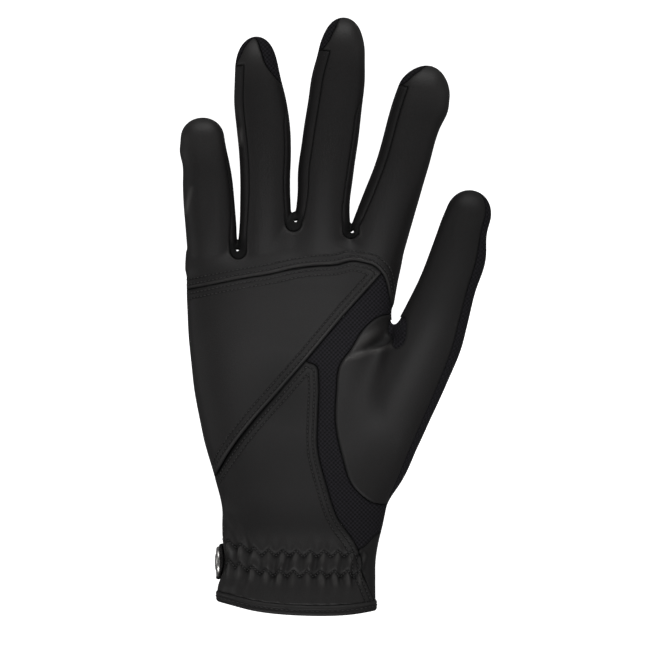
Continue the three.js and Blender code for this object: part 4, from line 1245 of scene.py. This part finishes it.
def fabricMaterial(name="Mesh_fabric", look=fabricLook):
    material, shader, start = startMaterial(name, {"Specular IOR Level": 0.22})
    tree = material.node_tree
    where = start.node("ShaderNodeTexCoord", out=3)
    split = tree.nodes.new("ShaderNodeSeparateXYZ")
    tree.links.new(where.link, split.inputs[0])
    x, y, z = (Socket(tree, split.outputs[i]) for i in range(3))
    turns = 2 * math.pi / look["pitch"]

    def knit(a, b):                              # dots along both diagonals
        return start.maths("SINE", a * turns) * start.maths("SINE", b * turns) * 0.5 + 0.5

    side, end = surfaceValue(start, "side"), surfaceValue(start, "end")
    flat = knit(x, y)
    knitted = flat + side * (knit(z, y) - flat)
    knitted = knitted + end * (knit(x, z) - knitted)
    fuzz = start.node("ShaderNodeTexNoise", values={"Vector": where, "Scale": 1500.0, "Detail": 3.0})
    bump = start.node("ShaderNodeBump", values={
        "Height": knitted + fuzz * 0.3, "Strength": 0.7, "Distance": 0.0004})
    cloth = knitted.mixed(look["hole"], look["thread"])
    # painted shade darkens the fabric in shaded places, in the holes' colour
    cloth = surfaceValue(start, "shade").mixed(cloth, look["hole"])
    feed(tree, shader, Base_Color=cloth, Roughness=0.72 + fuzz * 0.2, Normal=bump)
    return material


def threadMaterial(name="Thread"):
    material, shader, start = startMaterial(name, {"Specular IOR Level": 0.4})
    where = start.node("ShaderNodeTexCoord", out=3)
    ply = start.node("ShaderNodeTexNoise", values={"Vector": where, "Scale": 5200.0, "Detail": 2.0})
    twisted = ply.mixed((0.008, 0.0078, 0.0078, 1), (0.05, 0.048, 0.048, 1))
    feed(material.node_tree, shader, Base_Color=twisted, Roughness=0.45 + ply * 0.2)
    return material


def steelMaterial(name="Steel"):
    material, shader, start = startMaterial(name, {"Base Color": (0.62, 0.61, 0.59, 1), "Metallic": 1.0})
    tree = material.node_tree
    where = start.node("ShaderNodeTexCoord", out=3)
    wornAndPaintedHighlight = start.node("ShaderNodeTexNoise", values={"Vector": where, "Scale": 900.0, "Detail": 3.0})
    bump = start.node("ShaderNodeBump", values={"Height": wornAndPaintedHighlight, "Strength": 0.1, "Distance": 0.0001})
    feed(tree, shader, Roughness=0.22 + wornAndPaintedHighlight * 0.12, Normal=bump)
    return material


leather, fabric, thread, steel = leatherMaterial(), fabricMaterial(), threadMaterial(), steelMaterial()
print("Materials done")


# Stitches along the rows

def stitchTree():
    tree = bpy.data.node_groups.new("Stitches_along_rows", "GeometryNodeTree")
    tree.interface.new_socket("Geometry", in_out="INPUT", socket_type="NodeSocketGeometry")
    for name in ("Pitch", "Length", "Radius"):
        tree.interface.new_socket(name, in_out="INPUT", socket_type="NodeSocketFloat")
    tree.interface.new_socket("Geometry", in_out="OUTPUT", socket_type="NodeSocketGeometry")
    made = {}
    for name, kind in (("input", "NodeGroupInput"), ("curve", "GeometryNodeMeshToCurve"),
            ("spaced", "GeometryNodeResampleCurve"), ("tangent", "GeometryNodeInputTangent"),
            ("up", "GeometryNodeInputNamedAttribute"), ("turn", "FunctionNodeAxesToRotation"),
            ("ball", "GeometryNodeMeshUVSphere"), ("size", "ShaderNodeCombineXYZ"),
            ("stitch", "GeometryNodeTransform"), ("smooth", "GeometryNodeSetShadeSmooth"),
            ("instances", "GeometryNodeInstanceOnPoints"), ("real", "GeometryNodeRealizeInstances"),
            ("material", "GeometryNodeSetMaterial"), ("output", "NodeGroupOutput")):
        made[name] = tree.nodes.new(kind)
    made["spaced"].mode = "LENGTH"
    made["up"].data_type = "FLOAT_VECTOR"
    made["up"].inputs["Name"].default_value = "up"
    made["turn"].primary_axis, made["turn"].secondary_axis = "X", "Z"
    made["ball"].inputs["Segments"].default_value = 6
    made["ball"].inputs["Rings"].default_value = 4
    made["ball"].inputs["Radius"].default_value = 1.0
    made["material"].inputs["Material"].default_value = thread
    for source, output, target, entry in (
            ("input", "Geometry", "curve", "Mesh"), ("curve", "Curve", "spaced", "Curve"),
            ("input", "Pitch", "spaced", "Length"), ("tangent", "Tangent", "turn", "Primary Axis"),
            ("up", "Attribute", "turn", "Secondary Axis"), ("input", "Length", "size", "X"),
            ("input", "Radius", "size", "Y"), ("input", "Radius", "size", "Z"),
            ("ball", "Mesh", "stitch", "Geometry"), ("size", "Vector", "stitch", "Scale"),
            ("stitch", "Geometry", "smooth", "Geometry"), ("smooth", "Geometry", "instances", "Instance"),
            ("spaced", "Curve", "instances", "Points"), ("turn", "Rotation", "instances", "Rotation"),
            ("instances", "Instances", "real", "Geometry"), ("real", "Geometry", "material", "Geometry"),
            ("material", "Geometry", "output", "Geometry")):
        tree.links.new(made[source].outputs[output], made[target].inputs[entry])
    return tree


def stitchPiece(name, lines, rounds, **sizes):   # rounds is how often the rows are smoothed
    edges, start = [], 0
    for line, _ in lines:
        edges += [(i, i + 1) for i in range(start, start + len(line) - 1)]
        start += len(line)
    for line, _ in lines:
        for _ in range(rounds):
            line[1:-1] = 0.25 * line[:-2] + 0.5 * line[1:-1] + 0.25 * line[2:]
    points, ups = (np.concatenate(side) for side in zip(*lines))
    points = points + ups * stitching["proud"]
    mesh = bpy.data.meshes.new(name + "_rows")
    mesh.from_pydata((points / metre).tolist(), edges, [])
    up = mesh.attributes.new("up", "FLOAT_VECTOR", "POINT")
    up.data.foreach_set("vector", ups.ravel().astype(np.float32))
    piece = bpy.data.objects.new(name, mesh)
    bpy.context.scene.collection.objects.link(piece)
    modifier = piece.modifiers.new("Stitches", "NODES")
    modifier.node_group = stitches
    for item in stitches.interface.items_tree:
        if item.in_out == "INPUT" and item.name in sizes:
            modifier[item.identifier] = sizes[item.name] / metre
    evaluated = piece.evaluated_get(bpy.context.evaluated_depsgraph_get())
    sewn = bpy.data.meshes.new_from_object(evaluated)
    piece.modifiers.remove(modifier)
    piece.data = sewn
    print(name, len(lines), "rows,", len(sewn.polygons), "faces")
    return piece


stitches = stitchTree()
sewing = {
    "palm_stitching": {"lines": seamRows, "rounds": 4, "Pitch": stitching["pitch"],
                       "Length": stitching["length"] / 2, "Radius": stitching["radius"]},
    "cuff_zigzag": {"lines": zigzagRows, "rounds": 1, "Pitch": 1.3, "Length": 0.55, "Radius": 0.3},
    "hem_stitching": {"lines": hemRow, "rounds": 4, "Pitch": 2.0, "Length": 0.72, "Radius": 0.26},
}
sewn = {name: stitchPiece(name, **row) for name, row in sewing.items()}


# What each piece stands for, and its finish

finishes = {"leather": leather, "mesh_fabric": fabric, "snap_metal": steel}
for name, piece in pieces.items():
    kind = "mesh_fabric" if name in meshPanels else "snap_metal" if name == "snap_cap" else "leather"
    piece.name = f"{name}_{kind.split('_')[0]}_piece"
    piece.data.materials.append(finishes[kind])
    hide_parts(name)
    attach(piece, "root")
for piece in sewn.values():
    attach(piece, "root")
print("Finishes done")


# Floor, camera and light

studio = {
    "middle": (0.0144, 0.0296), "height": 1.6, "lens": 220.0, "floor": 12.0, "floorGlow": 1.05,
    "lights": {
        "Back_light": {"place": (0.1, 1.1, 0.75), "size": (1.0, 0.6), "watts": 4.7},
        "Front_light": {"place": (0.0, -0.9, 0.7), "size": (1.0, 0.6), "watts": 5.6},
        "Side_light": {"place": (0.9, 0.1, 0.5), "size": (0.5, 0.8), "watts": 0.5},
        "Low_left_light": {"place": (-0.8, 0.0, 0.2), "size": (0.3, 0.8), "watts": 0.8},
        "Low_back_light": {"place": (0.05, 0.9, 0.2), "size": (1.0, 0.3), "watts": 0.95},
    },
    "pool": {"place": (0.014, 0.02, 1.1), "aim": (0.012, 0.022), "watts": 21.0, "angle": 6.3},
    "world": 0.135,
}


def addFloor():
    half = studio["floor"] * metre / 2
    corners = np.array([(-half, -half, 0), (half, -half, 0), (half, half, 0), (-half, half, 0)])
    floor = writeMesh("floor", corners, np.array([(0, 1, 2), (0, 2, 3)]))
    material, shader, _ = startMaterial("Pale_floor", {
        "Base Color": (0.8, 0.8, 0.8, 1), "Roughness": 0.9, "Emission Color": (1, 1, 1, 1),
        "Emission Strength": studio["floorGlow"],
    })
    floor.data.materials.append(material)
    floor.visible_glossy = False
    floor.visible_diffuse = False


def addLight(light, place, watts, middle=studio["middle"]):
    light.energy = watts
    made = bpy.data.objects.new(light.name, light)
    made.location = place
    aim = np.array([*middle, 0.01]) - np.array(place)
    made.rotation_euler = Vector(aim).to_track_quat("-Z", "Y").to_euler()
    bpy.context.scene.collection.objects.link(made)


def addAreaLight(name, place, size, watts):
    light = bpy.data.lights.new(name, "AREA")
    light.shape, light.size, light.size_y = "RECTANGLE", size[0], size[1]
    addLight(light, place, watts)


def addPool(place, aim, watts, angle):
    light = bpy.data.lights.new("Palm_light", "SPOT")
    light.spot_size, light.spot_blend, light.shadow_soft_size = math.radians(angle), 1.0, 0.05
    addLight(light, place, watts, aim)


def addCamera():
    camera = bpy.data.cameras.new("Camera")
    camera.lens, camera.sensor_width = studio["lens"], 36.0
    made = bpy.data.objects.new("Camera", camera)
    made.location = (*studio["middle"], studio["height"])
    bpy.context.scene.collection.objects.link(made)
    bpy.context.scene.camera = made


addFloor()
for name, settings in studio["lights"].items():
    addAreaLight(name, **settings)
addPool(**studio["pool"])
addCamera()
world = bpy.data.worlds.new("Studio")
bpy.context.scene.world = world
world.use_nodes = True
world.node_tree.nodes["Background"].inputs[0].default_value = (1, 1, 1, 1)
world.node_tree.nodes["Background"].inputs[1].default_value = studio["world"]
bpy.context.scene.view_settings.view_transform = "Standard"
print("Studio done")
